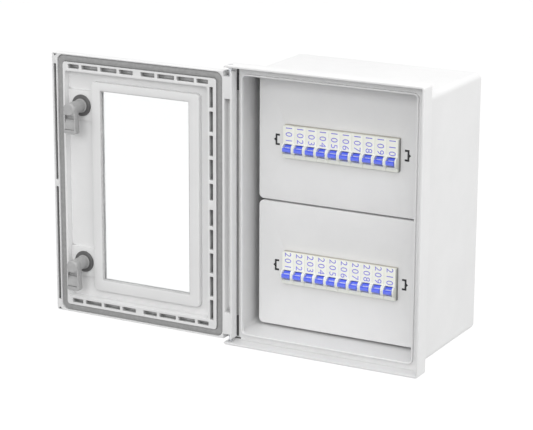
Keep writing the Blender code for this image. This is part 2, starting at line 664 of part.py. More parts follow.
def build_door_trim(pivot):
    """The gasket in its groove, the pane on the door's skin and the frame that holds it down."""
    outer, inner = groove_outlines(GAP)
    face, base = front(GASKET_T), front(GROOVE_T - GAP)
    ring = loft([(face, outer), (base, outer), (base, inner), (face, inner)], closed=True)
    gasket = new_object("door_gasket", ring, "gasket_grey", parent=pivot)
    shade(gasket)
    pane_s = (WINDOW_S[0] - PANE_BORDER, WINDOW_S[1] + PANE_BORDER)
    pane_half = WINDOW_HALF_HEIGHT + PANE_BORDER
    pane_back = RECESS_T - GAP
    pane_front = pane_back - PANE_THICKNESS
    pane_outline = door_outline(pane_s, pane_half, WINDOW_CORNER, centre=WINDOW_CENTRE)
    sheet = loft([(front(pane_front), pane_outline), (front(pane_back), pane_outline)])
    pane = new_object("window_pane", sheet, "window_clear", parent=pivot)
    shade(pane)
    frame = (FRAME_S, FRAME_HALF_HEIGHT, FRAME_CORNER)
    seat = door_outline(pane_s, pane_half, WINDOW_CORNER, -GAP, WINDOW_CENTRE)
    opening = door_outline(WINDOW_S, WINDOW_HALF_HEIGHT, WINDOW_CORNER, centre=WINDOW_CENTRE)
    sections = [(depth, door_outline(*frame, inset=inset))
                for depth, inset in edge_round(FRAME_T, FRAME_EDGE_ROUND, 1)]
    sections += [(pane_back, door_outline(*frame)), (pane_back, seat), (pane_front - GAP, seat),
                 (pane_front - GAP, opening), (FRAME_T, opening)]
    rim = loft([(front(depth), points) for depth, points in sections], closed=True)
    shade(new_object("window_frame", rim, "enclosure_grey", parent=pivot))


def build_hinge_pins(pivot):
    """Two steel pins on the door's axis, each from a block in the door into a hole in the collar."""
    for name, side in (("upper", 1), ("lower", -1)):
        centre = (door_x(PIVOT_S), front(PIVOT_T), side * (PIN_LOW + PIN_HIGH) / 2)
        pin = new_object(f"hinge_pin_{name}", rods([centre], PIN_RADIUS, PIN_HIGH - PIN_LOW, "Z", 20),
                         "zinc_steel", parent=pivot)
        shade(pin)


def build_lock(name, height, pivot):
    """A quarter-turn lock: fixed body and ring nut, with a spindle and cam that turn together."""
    centre = (door_x(LOCK_S), height)
    axis = axis_empty(f"lock_axis_{name}", (centre[0], front(PIVOT_T), height), pivot)
    build_lock_body(name, centre, pivot)
    build_spindle(name, centre, axis)
    build_cam(name, centre, axis)


def build_lock_body(name, centre, pivot):
    """The fixed cylinder with its flange outside the door, and the ring nut that clamps it from inside."""
    outer_face = front(DOOR_THICKNESS + GAP + LOCK_FLANGE)
    inner_end = front(CAM_BACK_T + GAP)
    flange_back = front(DOOR_THICKNESS + GAP)
    mouth_floor = outer_face - LOCK_MOUTH_DEPTH
    body = turned([(LOCK_BORE_RADIUS, inner_end), (LOCK_RADIUS, inner_end), (LOCK_RADIUS, flange_back),
                   (LOCK_FLANGE_RADIUS, flange_back), (LOCK_FLANGE_RADIUS, outer_face - LOCK_CHAMFER),
                   (LOCK_FLANGE_RADIUS - LOCK_CHAMFER, outer_face), (LOCK_MOUTH_RADIUS, outer_face),
                   (LOCK_MOUTH_RADIUS, mouth_floor), (LOCK_BORE_RADIUS, mouth_floor)], centre)
    shade(new_object(f"lock_body_{name}", body, "lock_metal", parent=pivot))
    nut_back = front(PAD_T - GAP)
    nut_front = nut_back - NUT_THICKNESS
    hole = LOCK_RADIUS + GAP
    nut = turned([(hole, nut_front), (NUT_RADIUS - LOCK_CHAMFER, nut_front),
                  (NUT_RADIUS, nut_front + LOCK_CHAMFER), (NUT_RADIUS, nut_back), (hole, nut_back)], centre)
    shade(new_object(f"lock_nut_{name}", nut, "nut_dark", parent=pivot))


def build_spindle(name, centre, axis):
    """The turning shaft, with a disc in front of the cam and a flat key bit in the lock's mouth."""
    x, height = centre
    disc_back = front(CAM_FRONT_T - GAP)
    disc_front = disc_back - SPINDLE_DISC
    outer_face = front(DOOR_THICKNESS + GAP + LOCK_FLANGE)
    shaft_end = outer_face - LOCK_MOUTH_DEPTH + LOCK_CHAMFER
    shaft_start = (disc_front + disc_back) / 2
    shaft = rods([(x, (shaft_start + shaft_end) / 2, height)], SPINDLE_RADIUS, shaft_end - shaft_start, "Y")
    piece = new_object(f"lock_spindle_{name}", shaft, "lock_metal", parent=axis)
    disc = rods([(x, (disc_back + disc_front) / 2, height)], SPINDLE_DISC_RADIUS, SPINDLE_DISC, "Y")
    boolean(piece, disc, "UNION")
    bit = ((x - KEY_BIT_HALF_WIDTH, x + KEY_BIT_HALF_WIDTH),
           (shaft_end - KEY_BIT_SETBACK, outer_face - KEY_BIT_SETBACK),
           (height - KEY_BIT_HALF_HEIGHT, height + KEY_BIT_HALF_HEIGHT))
    boolean(piece, boxes([bit]), "UNION")
    shade(piece)


def build_cam(name, centre, axis):
    """The cam: a round hub on the spindle and a lever that hangs from it, hollowed under the hub."""
    x, height = centre
    outline = arc((0, 0), CAM_HUB_RADIUS, -CAM_HUB_TURN, 180 + CAM_HUB_TURN, 18)
    outline += arc((CAM_CORNER - CAM_HALF_WIDTH, CAM_CORNER - CAM_REACH), CAM_CORNER, 180, 270, 3)
    outline += arc((CAM_HALF_WIDTH - CAM_CORNER, CAM_CORNER - CAM_REACH), CAM_CORNER, 270, 360, 3)
    outline = [(x + across, height + up) for across, up in outline]
    lever = loft([(front(CAM_FRONT_T), outline), (front(CAM_BACK_T), outline)])
    piece = new_object(f"lock_cam_{name}", lever, "lock_metal", parent=axis)
    middle = (x, front((CAM_FRONT_T + CAM_BACK_T) / 2), height)
    boolean(piece, rods([middle], LOCK_BORE_RADIUS, CAM_BACK_T - CAM_FRONT_T + 2 * OVERCUT, "Y"))
    pocket = ((x - CAM_POCKET_HALF_WIDTH, x + CAM_POCKET_HALF_WIDTH),
              (front(CAM_FRONT_T - OVERCUT), front(CAM_BACK_T - CAM_FLOOR)),
              [height - reach for reach in CAM_POCKET])
    boolean(piece, boxes([pocket]))
    shade(piece)


def main():
    clear_scene()
    build_enclosure()
    build_mounting_frame()
    for number, name in ((1, "upper"), (2, "lower")):
        row_height = ROW_HEIGHTS[number]
        build_rail(f"din_rail_{name}", row_height)
        build_cover(f"cover_panel_{name}", COVER_SPANS[name], row_height)
    build_breakers()
    pivot = axis_empty("door_axis", (door_x(PIVOT_S), front(PIVOT_T), 0))
    build_door_shell(pivot)
    build_door_trim(pivot)
    build_hinge_pins(pivot)
    for name, height in LOCK_HEIGHTS.items():
        build_lock(name, height, pivot)


main()
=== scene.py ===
import json
import math

import bmesh
import bpy
import numpy as np
from mathutils import Matrix, Vector


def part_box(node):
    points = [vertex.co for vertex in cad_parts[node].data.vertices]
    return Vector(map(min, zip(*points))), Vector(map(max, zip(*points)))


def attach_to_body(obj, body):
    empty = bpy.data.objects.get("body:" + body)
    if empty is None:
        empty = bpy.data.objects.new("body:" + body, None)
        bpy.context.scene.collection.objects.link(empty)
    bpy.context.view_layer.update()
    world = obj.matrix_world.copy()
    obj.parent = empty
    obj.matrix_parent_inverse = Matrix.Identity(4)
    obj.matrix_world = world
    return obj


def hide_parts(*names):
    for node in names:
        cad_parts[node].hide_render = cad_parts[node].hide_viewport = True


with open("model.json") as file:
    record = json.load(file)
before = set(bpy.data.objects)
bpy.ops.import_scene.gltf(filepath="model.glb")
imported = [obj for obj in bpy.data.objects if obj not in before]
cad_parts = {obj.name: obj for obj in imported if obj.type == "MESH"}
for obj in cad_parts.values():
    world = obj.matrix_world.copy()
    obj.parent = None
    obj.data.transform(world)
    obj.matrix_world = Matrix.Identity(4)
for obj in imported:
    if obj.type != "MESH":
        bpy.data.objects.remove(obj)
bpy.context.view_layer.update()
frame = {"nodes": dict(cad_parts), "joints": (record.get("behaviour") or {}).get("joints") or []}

# DC combiner box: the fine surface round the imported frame.
#
# All lengths are in metres. Seen from the front, +X is to the right, +Z up and -Y towards the viewer. A depth
# is measured backwards from the collar's front edge, which is also the open door's inner face.

BASE_LOW, BASE_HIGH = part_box("enclosure_base")
DOOR_LOW, DOOR_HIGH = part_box("door_shell")
FRONT_Y = BASE_LOW.y
PIVOTS = {joint["name"]: joint["pos_m"] for joint in frame["joints"]}

ENDS = (("upper", 1), ("lower", -1))
ROWS = (("upper", 101), ("lower", 201))
GAP = 0.0003  # clearance between pieces that touch
HAIRLINE = 0.0001  # clearance where no gap should be seen
OVERCUT = 0.002  # a cutter reaches this far past the face it cuts
WIDE_OVERCUT = 0.005
LEAST_RADIUS = 0.0002
LARGEST_FILLET = 0.49  # share of the way to the next station that a fillet may take up
CORNER_STEPS = 8  # segments of a rounded corner
FILLET_STEPS = 3  # segments of a fillet
ROUND_STEPS = 64  # segments of a turned piece
ROD_STEPS = 32
FINE_ROD_STEPS = 48
SMOOTH_ANGLE = 35.0  # edges sharper than this stay hard

# Enclosure
COLLAR_WALL = 0.003
COLLAR_CORNER = 0.004
COLLAR_DEPTH = 0.0252
BODY_SIDE_STEP = 0.006  # the body is this much narrower than the collar on each side
BODY_BOTTOM = -0.189
BODY_TOP = 0.183
BODY_WALL = 0.003
BODY_CORNER = 0.009
REAR_EDGE = 0.0035
THROAT_TOP = 0.1873
THROAT_BOTTOM = -0.1866
FLARE_DEPTH = 0.038
WEB_DEPTH = 0.0226
LIP_DEPTH = 0.0189
LIP_HALF_WIDTH = 0.1333
LIP_BOTTOM = -0.1887
LIP_TOP = 0.1864
LIP_WALL = 0.0025
LIP_CORNER = 0.008
OPEN_SIDE_EDGE = 0.0012  # the missing collar wall is cut away up to this far from the lip
HINGE_CHANNEL = (-0.1413, -0.1375, -0.193, 0.193, 0.0008)  # a shape, as below
HINGE_CHANNEL_DEPTH = 0.0016
STRIP_MARGIN = 0.0002  # between the channel's sides and what lies in it
STRIP_CORNER = 0.0015
# Painted shade in the hinge channel: toothed black strips at its ends for the dark slots there, and a grey
# strip for the shaded channel between.
SHADE_TEETH_SPAN = (0.1617, 0.1925)
SHADE_TEETH = (0.1705, 0.1745, 0.1785, 0.1825, 0.1865)
SHADE_TOOTH = 0.0018  # height of the notch above each tooth
SHADE_NOTCH_DEPTH = 0.0012
SHADE_NOTCH_X = 0.0020  # from the channel's left side
SHADE_TEETH_RISE = 0.0003
CHANNEL_SHADE_RISE = 0.0006
FOOT_X = (-0.1466, -0.1340)
FOOT_Z = (0.1938, 0.1960)
FOOT_SHEET = 0.0004
FOOT_GAP = 0.00003
BOSS_PLACES = (0.109, 0.152)
BOSS_RADIUS = 0.007
WALL_HOLE_PLACES = (0.120, 0.168)
WALL_HOLE_RADIUS = 0.0035
HOLE_CUTTER = 0.012  # length of the cutters for pin holes and wall holes
END_INSET = 0.03  # the rear wall's two end faces start this far inside its edge

# Covers and clips
COVER_SHEET = 0.003
COVER_WALL = 0.0025
COVER_CORNER = 0.007
SLOT_MARGIN = 0.0007
CLIP_X = {-1: 0.1035, 1: 0.1010}
CLIP_HALF_HEIGHT = 0.0082
CLIP_TICK = 0.0070
CLIP_LINE = 0.0030
CLIP_NIB = 0.0024
CLIP_SINK = 0.0004
CLIP_GAP = 0.00015
CLIP_TAIL = 0.004  # a clip reaches this far behind the cover's sheet

# Breakers
WAYS = [100 * row + way for row in (1, 2) for way in range(1, 11)]
MODULE_PITCH = 0.0175
BREAKER_EDGE = 0.0003
FACE_RISE = 0.0060  # the cheeks stand this far in front of the printed face
FACE_HALF = 0.0227
SHOULDER_DEPTH = 0.075
RAIL_HALF = 0.0175
CHEEK_HALF_HEIGHT = 0.0071
CHEEK_BLUNTNESS = 0.6
BODY_GAP = 0.00005  # the visible gap between neighbouring breakers is twice this
RAIL_LIP = 0.0013
HOOK_REACH = 0.0150
END_PLATE = 0.0003
END_PLATE_SETBACK = 0.0034
STRIP_SETBACK = 0.0046
STRIP_SHEET = 0.0004
TOGGLE_SLOT_HALF_WIDTH = 0.0064
DRUM_RADIUS = 0.0055
DRUM_SLOT_RADIUS = 0.0060
SLOT_MOUTH = (0.0014, 0.0012)
LEVER_REACH = 0.0113
LEVER_HALF_HEIGHT = 0.0031
NUMBER_HEIGHT = 0.0104
NUMBER_DROP = 0.0117  # centre of the printed number, below the face's top edge
NUMBER_INK = 0.00006
CAPITAL_HEIGHT = 0.72  # of the font's size
GRIP_STEP_X = -0.0030
GRIP_STEP_Z = (0.0010, 0.0026)
GRIP_STEP_DEPTH = 0.0016
# The painted highlight band on top of each toggle's lever:
HIGHLIGHT_END_X = 0.0052
HIGHLIGHT_Y = (-0.0094, -0.0060)  # along the lever, from the toggle's axis

# Door
DOOR_CORNER = 0.003
DOOR_EDGE_ROUND = 0.0025
MOUTH_ROUND = 0.0005
FLOOR_ROUND = 0.0006
GROOVE_S = (0.0150, 0.2850)
GROOVE_HALF_HEIGHT = 0.1898
GROOVE_WIDTH = 0.0101
GROOVE_DEPTH = 0.008
GROOVE_CORNERS = (0.010, 0.004)
RECESS_S = (0.0385, 0.2725)
RECESS_HALF_HEIGHT = 0.1668
RECESS_DEPTH = 0.0123
RECESS_CORNER = 0.003
POCKET_DEPTH = 0.010
HINGE_POCKET_DEPTH = 0.012
RIB_CENTRE_S = 0.15215
SIDE_POCKETS = (0.0240, 0.0293, 0.0293, 0.0293, 0.0293)
SIDE_POCKET_S = (0.0297, 0.0355)
SIDE_POCKET_GAPS = (0.0049, 0.0133)
END_POCKETS = (0.0227, 0.0275, 0.0275, 0.0183)
END_POCKET_Z = (0.1709, 0.1770)
END_POCKET_GAPS = (0.0041, 0.0127)
EDGE_POCKETS = (0.1705,)
EDGE_POCKET_S = (0.2869, 0.2911)
EDGE_POCKET_GAPS = (0.0, 0.0102)
HINGE_POCKET_S = (0.0025, 0.0116)
HINGE_POCKET_HALF_HEIGHT = 0.1536
HINGE_POCKET_CORNER = 0.0012
NOTCH_S = (0.0025, 0.0135)
NOTCH_LOW = 0.1843
NOTCH_WALL = 0.0015
CORNER_POCKET = ((0.0024, 0.0017), (0.0084, 0.0017), (0.0046, 0.0046))  # from the door's corner
CORNER_POCKET_DEPTH = 0.004
PIN_HOLE_RADIUS = 0.0033
PAD_S = (0.2316, 0.2735)
PAD_HALF_HEIGHT = 0.022
PAD_CORNER = 0.001
PAD_DEPTH = 0.0098
WINDOW_S = (0.0700, 0.2165)
WINDOW_HALF_HEIGHT = 0.1402
WINDOW_CORNER = 0.002
WINDOW_CUT = 0.006  # depth of the window's opening, from the door's outer face
POCKET_CORNER = 0.0009
SEAL_SHEET = 0.0010
SEAL_SETBACK = 0.0004
GASKET_CROWN = 0.0042
FRAME_CORNER = 0.006

# Locks
LOCK_RADIUS = 0.009
LOCK_COLLAR_RADIUS = 0.0102
LOCK_COLLAR_SHEET = 0.0012
LOCK_FLANGE = 0.002
LOCK_CUTTER = 0.02  # length of the cutter for a lock's hole
LOCK_BORE_RADIUS = 0.0048
LOCK_MOUTH_RADIUS = 0.0068
LOCK_MOUTH_DEPTH = 0.005
KEY_BIT = (0.0014, 0.0038)  # half width and half height
KEY_BIT_SETBACK = 0.0012
CAM_PLATE = 0.0030
CAM_ARM_STEP = 0.0008
CAM_ARM_X = 0.0074  # the arm's inner side, to the right of the cam's middle
CAM_ARM_THICKNESS = 0.0009
CAM_BLOCK_STEP = 0.0026
CAM_LIP = 0.0058  # height of the round lip under the block
CAM_HOLLOW = (-0.0088, -0.0156, -0.0214)  # top, foot of the slope and its crest, from the hub's middle
CAM_SLOPE_DEPTH = 0.0034
CAM_GROOVE = 0.0008
CAM_GROOVE_DEPTH = 0.0016
CAM_CORNER = 0.0034
CAM_HUB_RADIUS = 0.0092
CAM_HUB_TURN = 15  # the hub's arc goes on below its middle by this angle
CAM_CUTTER = 0.03  # length of the cutter for a cam's bore

# Studio
VIEW_TARGET = Vector((-0.09926, -0.17443, -0.01225))
VIEW_AZIMUTH = 28.381
VIEW_ELEVATION = 15.28
VIEW_ROLL = 0.248
VIEW_DISTANCE = 2.904
VIEW_LENS = 141.28
SENSOR_WIDTH = 36.0
VIEW_END = 100.0
FLOOR_DROP = 1.2
FLOOR_SIZE = 40.0
FLOOR_SHEET = 0.02
ROOM_LIGHT = 0.73
ROOM_TILT = (0.30, 0.32, 0.50)  # how much brighter the room is towards +X, +Y and +Z
BACKDROP_LIGHT = 1.1  # what the camera sees behind the object
LIGHT_AIM = (-0.1, -0.1, 0)
LIGHTS = (  # name, place, width and height, watts
    ("key", (1.2, -1.6, 2.4), (1.6, 1.2), 12),
    ("fill", (-2.2, -2.2, 0.6), (2.0, 2.0), 6),
    ("front", (0.25, -3.0, 1.15), (1.2, 1.2), 31),
)


# ---- Materials ----

class Nodes:
    """The node tree of a material or of the world, with short calls to add nodes and join them."""

    def __init__(self, owner):
        owner.use_nodes = True
        self.owner = owner
        self.tree = owner.node_tree
        self.shader = self.tree.nodes.get("Principled BSDF")

    def add(self, kind, inputs=(), **settings):
        node = self.tree.nodes.new("ShaderNode" + kind)
        for key, value in settings.items():
            setattr(node, key, value)
        return self.set(node, inputs)

    def set(self, node, inputs):
        for key, value in dict(inputs).items():
            node.inputs[key].default_value = value
        return node

    def join(self, source, output, target, socket):
        self.tree.links.new(source.outputs[output], target.inputs[socket])

    def lay(self, node):
        """Give a node the piece's own coordinates."""
        place = self.tree.nodes.get("Place") or self.add("TexCoord", name="Place")
        self.join(place, "Object", node, "Vector")
        return node

    def noise(self, scale, detail=3.0, roughness=0.5):
        """Noise with its scale in waves per metre."""
        return self.lay(self.add("TexNoise", {"Scale": scale, "Detail": detail, "Roughness": roughness}))

    def roughen(self, texture, low, high):
        """Vary the roughness between two values."""
        node = self.add("MapRange", {"From Min": 0.3, "From Max": 0.7, "To Min": low, "To Max": high})
        self.join(texture, 0, node, "Value")
        self.join(node, "Result", self.shader, "Roughness")

    def tint(self, texture, dark, light):
        """Colour between two tones."""
        ramp = self.add("ValToRGB")
        for element, position, colour in zip(ramp.color_ramp.elements, (0.32, 0.68), (dark, light)):
            element.position = position
            element.color = (*colour, 1)
        self.join(texture, 0, ramp, "Fac")
        self.join(ramp, "Color", self.shader, "Base Color")

    def darken_crevices(self, reach, darkest):
        """Painted shade: multiply the colour by a factor that falls inside the piece's own narrow pockets,
        where little light reaches.
        """
        colour = self.shader.inputs["Base Color"].links[0].from_node
        openness = self.add("AmbientOcclusion", {"Distance": reach}, samples=8, only_local=True)
        factor = self.add("MapRange", {"From Min": 0.18, "From Max": 0.54, "To Min": darkest, "To Max": 1.0})
        self.join(openness, "AO", factor, "Value")
        product = self.add("VectorMath", operation="MULTIPLY")
        self.join(colour, "Color", product, 0)
        self.join(factor, "Result", product, 1)
        self.join(product, "Vector", self.shader, "Base Color")

    def bump(self, layers):
        """Stacked bumps, each a (texture, height in metres, strength)."""
        last = None
        for texture, height, strength in layers:
            node = self.add("Bump", {"Distance": height, "Strength": strength})
            self.join(texture, 0, node, "Height")
            if last:
                self.join(last, "Normal", node, "Normal")
            last = node
        self.join(last, "Normal", self.shader, "Normal")


def grey(level):
    return (level, level, level)


def shades(colour, amount):
    """A darker and a lighter tone of a colour."""
    return [tuple(min(1.0, channel * factor) for channel in colour) for factor in (1 - amount, 1 + amount)]


def moulded_plastic(name, colour, roughness, grain=2600.0, grain_height=0.00003, mottle=0.02, coat=0.0,
                    crevice_shade=None):
    """Injection-moulded plastic: spark-eroded grain, slight flow mottling and uneven sheen.

    With crevice_shade (reach, darkest factor) its own narrow pockets get painted shade: their colour is
    darker where little light reaches.
    """
    nodes = Nodes(bpy.data.materials.new(name))
    flow = nodes.noise(14.0, 4.0, 0.6)
    fine = nodes.noise(grain, 2.0)
    ripple = nodes.noise(60.0, 2.0)
    nodes.tint(flow, *shades(colour, mottle))
    nodes.roughen(fine, roughness - 0.05, roughness + 0.05)
    nodes.bump([(ripple, 0.00006, 0.25), (fine, grain_height, 0.35)])
    nodes.set(nodes.shader, {"Coat Weight": coat, "Coat Roughness": 0.12, "IOR": 1.49})
    if crevice_shade:
        nodes.darken_crevices(*crevice_shade)
    return nodes.owner


def foamed_seal(name, colour):
    """Foamed-in-place polyurethane: a soft skin with pores and a slow wave."""
    nodes = Nodes(bpy.data.materials.new(name))
    pores = nodes.lay(nodes.add("TexVoronoi", {"Scale": 1500.0}))
    wave = nodes.noise(220.0, 4.0, 0.6)
    nodes.tint(wave, *shades(colour, 0.10))
    nodes.roughen(wave, 0.78, 0.95)
    nodes.bump([(wave, 0.0003, 0.5), (pores, 0.00012, 0.5)])
    return nodes.owner


def cast_metal(name, colour, roughness, bare):
    """Tumbled zinc casting under a thin dull passivation: fine pitting and slightly clouded reflections."""
    nodes = Nodes(bpy.data.materials.new(name))
    cloud = nodes.noise(160.0, 4.0, 0.6)
    pitting = nodes.noise(1800.0, 3.0, 0.6)
    nodes.tint(cloud, *shades(colour, 0.07))
    nodes.roughen(cloud, roughness - 0.07, roughness + 0.07)
    nodes.bump([(cloud, 0.00008, 0.3), (pitting, 0.00003, 0.45)])
    nodes.set(nodes.shader, {"Metallic": bare})
    return nodes.owner


def plated_steel(name, colour):
    """Zinc-plated sheet: rolling marks along X and a spangle of small grains."""
    nodes = Nodes(bpy.data.materials.new(name))
    stretch = nodes.lay(nodes.add("Mapping", {"Scale": (0.03, 1.0, 1.0)}))
    lines = nodes.add("TexNoise", {"Scale": 2200.0, "Detail": 3.0})
    nodes.join(stretch, "Vector", lines, "Vector")
    spangle = nodes.lay(nodes.add("TexVoronoi", {"Scale": 300.0}))
    nodes.tint(spangle, *shades(colour, 0.08))
    nodes.roughen(lines, 0.24, 0.42)
    nodes.bump([(lines, 0.00002, 0.4)])
    nodes.set(nodes.shader, {"Metallic": 1.0})
    return nodes.owner


def clear_sheet(name):
    """Clear polycarbonate with a faint ripple in its polish."""
    nodes = Nodes(bpy.data.materials.new(name))
    ripple = nodes.noise(9.0, 2.0)
    smear = nodes.noise(45.0, 4.0, 0.65)
    nodes.roughen(smear, 0.01, 0.035)
    nodes.bump([(ripple, 0.0001, 0.08)])
    nodes.set(nodes.shader, {"Base Color": (0.985, 0.995, 0.995, 1), "Transmission Weight": 1.0, "IOR": 1.50})
    return nodes.owner


MATERIALS = {
    # The enclosure's plastic carries painted shade: darker colour in its own narrow pockets.
    "enclosure_grey": moulded_plastic("enclosure_plastic", grey(0.78), 0.40, crevice_shade=(0.012, 0.45)),
    "cover_grey": moulded_plastic("cover_plastic", grey(0.80), 0.46, 1900.0, 0.00005),
    "breaker_white": moulded_plastic("breaker_thermoset", (0.91, 0.92, 0.85), 0.34, 3200.0, 0.00002, 0.015),
    "toggle_blue": moulded_plastic("toggle_thermoset", (0.11, 0.17, 0.92), 0.30, 3200.0, 0.00002, 0.05, 1.0),
    "gasket_grey": foamed_seal("seal_foam", grey(0.34)),
    "window_clear": clear_sheet("window_sheet"),
    "lock_metal": cast_metal("lock_zinc", grey(0.43), 0.55, 0.35),
    "nut_dark": moulded_plastic("nut_plastic", grey(0.095), 0.42, 1700.0, 0.00006, 0.08),
    "zinc_steel": plated_steel("plated_sheet", (0.62, 0.63, 0.65)),
}
# Painted shade, stronger, in the door's own pockets and grooves.
DOOR_PLASTIC = moulded_plastic("door_plastic", grey(0.78), 0.40, crevice_shade=(0.010, 0.22))
# Painted highlight: pale blue for the light caught on top of each toggle's lever.
PAINTED_HIGHLIGHT = moulded_plastic("mark_ink", (0.68, 0.70, 0.97), 0.5, 2600.0, 0.00001, 0.10)
INK = moulded_plastic("printing_ink", (0.22, 0.21, 0.74), 0.5, 2600.0, 0.00001, 0.10)
CLIP_BLACK = moulded_plastic("clip_nylon", (0.018, 0.018, 0.020), 0.6, 1700.0, 0.00005, 0.2)
# Painted shade for the hinge channel: black at its ends and grey along it.
CHANNEL_SHADE_BLACK = moulded_plastic("buffer_rubber", grey(0.10), 0.7, 1700.0, 0.00005, 0.2)
CHANNEL_SHADE_GREY = moulded_plastic("liner_rubber", grey(0.40), 0.7, 1700.0, 0.00005, 0.1)
END_GREY = moulded_plastic("end_plate_grey", (0.34, 0.34, 0.33), 0.6, 1700.0, 0.00004, 0.15)
# A thin brownish strip along the top of each row of breakers, darker than the breakers.
STRIP_BROWN = moulded_plastic("label_strip", (0.56, 0.53, 0.47), 0.6, 1700.0, 0.00004, 0.12)
WINDOW_SEAL = foamed_seal("window_seal_rubber", grey(0.62))


# ---- Shapes ----
# A shape is a rectangle with round corners: (x low, x high, z low, z high, corner radius).

def grow(shape, amount):
    """The shape made larger all round, or smaller where the amount is negative."""
    x_low, x_high, z_low, z_high, radius = shape
    return (x_low - amount, x_high + amount, z_low - amount, z_high + amount,
            max(radius + amount, LEAST_RADIUS))


def box_shape(low, high, radius):
    return (low.x, high.x, low.z, high.z, radius)


def door_x(s_span):
    """The span in X of a span in s, the distance from the hinge edge of the open door."""
    return DOOR_HIGH.x - s_span[1], DOOR_HIGH.x - s_span[0]


def door_shape(s_span, half_height, radius, centre=0.0):
    return (*door_x(s_span), centre - half_height, centre + half_height, radius)


def node_span(node):
    """A node's lowest and highest corner, and the depths of its front and its back."""
    low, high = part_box(node)
    return low, high, low.y - FRONT_Y, high.y - FRONT_Y


def row_span(first):
    """The lowest and highest corner of a row of breakers, and the height of its centre line."""
    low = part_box(f"breaker_body_{first}")[0]
    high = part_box(f"breaker_body_{first + 9}")[1]
    return low, high, (low.z + high.z) / 2


def window_shape():
    """The window's opening, level with the pane's middle."""
    pane_low, pane_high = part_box("window_pane")
    return door_shape(WINDOW_S, WINDOW_HALF_HEIGHT, WINDOW_CORNER, (pane_low.z + pane_high.z) / 2)


def outline_points(shape, steps=CORNER_STEPS):
    x_low, x_high, z_low, z_high, radius = shape
    centres = (
        (x_high - radius, z_high - radius, 0),
        (x_low + radius, z_high - radius, 90),
        (x_low + radius, z_low + radius, 180),
        (x_high - radius, z_low + radius, 270),
    )
    points = []
    for centre_x, centre_z, start in centres:
        for step in range(steps + 1):
            angle = math.radians(start + 90 * step / steps)
            points.append((centre_x + radius * math.cos(angle), centre_z + radius * math.sin(angle)))
    return points


def fillets(stations, closed=False):
    """(depth, shape) sections through stations of (depth, shape, fillet radius), curved at each fillet."""
    places = [np.array((depth, *shape)) for depth, shape, _ in stations]
    sections = []
    for index, (_, _, fillet) in enumerate(stations):
        here = places[index]
        if fillet == 0:
            sections.append(here)
            continue
        arms = []
        for other in (places[index - 1], places[(index + 1) % len(places)]):
            reach = np.abs(other - here)[:-1].max()
            arms.append(here + (other - here) * min(LARGEST_FILLET, fillet / reach))
        for step in range(FILLET_STEPS + 1):
            t = step / FILLET_STEPS
            sections.append((1 - t) ** 2 * arms[0] + 2 * t * (1 - t) * here + t ** 2 * arms[1])
    return [(section[0], tuple(section[1:])) for section in sections]


def to_mesh(work):
    bmesh.ops.recalc_face_normals(work, faces=work.faces)
    mesh = bpy.data.meshes.new("shape")
    work.to_mesh(mesh)
    work.free()
    return mesh


def skinned(bodies, closed=False):
    """A mesh over bodies of rings of points, with both ends capped unless the rings close on themselves."""
    work = bmesh.new()
    for body in bodies:
        rings = [[work.verts.new(point) for point in ring] for ring in body]
        following = rings[1:] + rings[:1] if closed else rings[1:]
        for ring, other in zip(rings, following):
            for index in range(len(ring)):
                after = (index + 1) % len(ring)
                work.faces.new((ring[index], ring[after], other[after], other[index]))
        if not closed:
            work.faces.new(rings[0])
            work.faces.new(rings[-1])
    return to_mesh(work)


def ring_at(points, depth):
    return [(x, FRONT_Y + depth, z) for x, z in points]


def loft(bodies, closed=False, steps=CORNER_STEPS):
    """A mesh of one or more bodies, each given by its (depth, shape) sections."""
    return skinned([[ring_at(outline_points(shape, steps), depth) for depth, shape in sections]
                    for sections in bodies], closed)


def prism(points, depths):
    """A body with one outline of (x, z) points between two depths."""
    return skinned([[ring_at(points, depth) for depth in depths]])


def side_extrusion(profile, x_span):
    """A body with one outline of (y, z) points, extruded along X."""
    return skinned([[[(x, y, z) for y, z in profile] for x in x_span]])


def rods(places, radius, length, axis="Y", steps=ROD_STEPS):
    turn = Matrix.Rotation(math.radians(90), 4, "X") if axis == "Y" else Matrix.Identity(4)
    work = bmesh.new()
    for place in places:
        bmesh.ops.create_cone(work, cap_ends=True, segments=steps, radius1=radius, radius2=radius,
                              depth=length, matrix=Matrix.Translation(place) @ turn)
    return to_mesh(work)


def boxes(spans):
    work = bmesh.new()
    for span in spans:
        low = Vector(min(pair) for pair in span)
        high = Vector(max(pair) for pair in span)
        place = Matrix.Translation((low + high) / 2) @ Matrix.Diagonal((*(high - low), 1))
        bmesh.ops.create_cube(work, size=1.0, matrix=place)
    return to_mesh(work)


def turned_point(point, centre, step):
    """Where a (radius, depth) point lies after some steps of a turn about an axis along Y."""
    radius, depth = point
    angle = 2 * math.pi * step / ROUND_STEPS
    return centre[0] + radius * math.cos(angle), FRONT_Y + depth, centre[1] + radius * math.sin(angle)


def turned_ring(profile, centre):
    """A ring or tube about an axis along Y, from a closed profile of (radius, depth) points."""
    return skinned([[[turned_point(point, centre, step) for point in profile]
                     for step in range(ROUND_STEPS)]], True)


def turned_solid(profile, centre):
    """A solid about an axis along Y, from (radius, depth) points, with a flat face at each end."""
    return skinned([[[turned_point(point, centre, step) for step in range(ROUND_STEPS)]
                     for point in profile]])


def arc(centre, radius, start, end, steps):
    points = []
    for step in range(steps + 1):
        angle = math.radians(start + (end - start) * step / steps)
        points.append((centre[0] + radius * math.cos(angle), centre[1] + radius * math.sin(angle)))
    return points


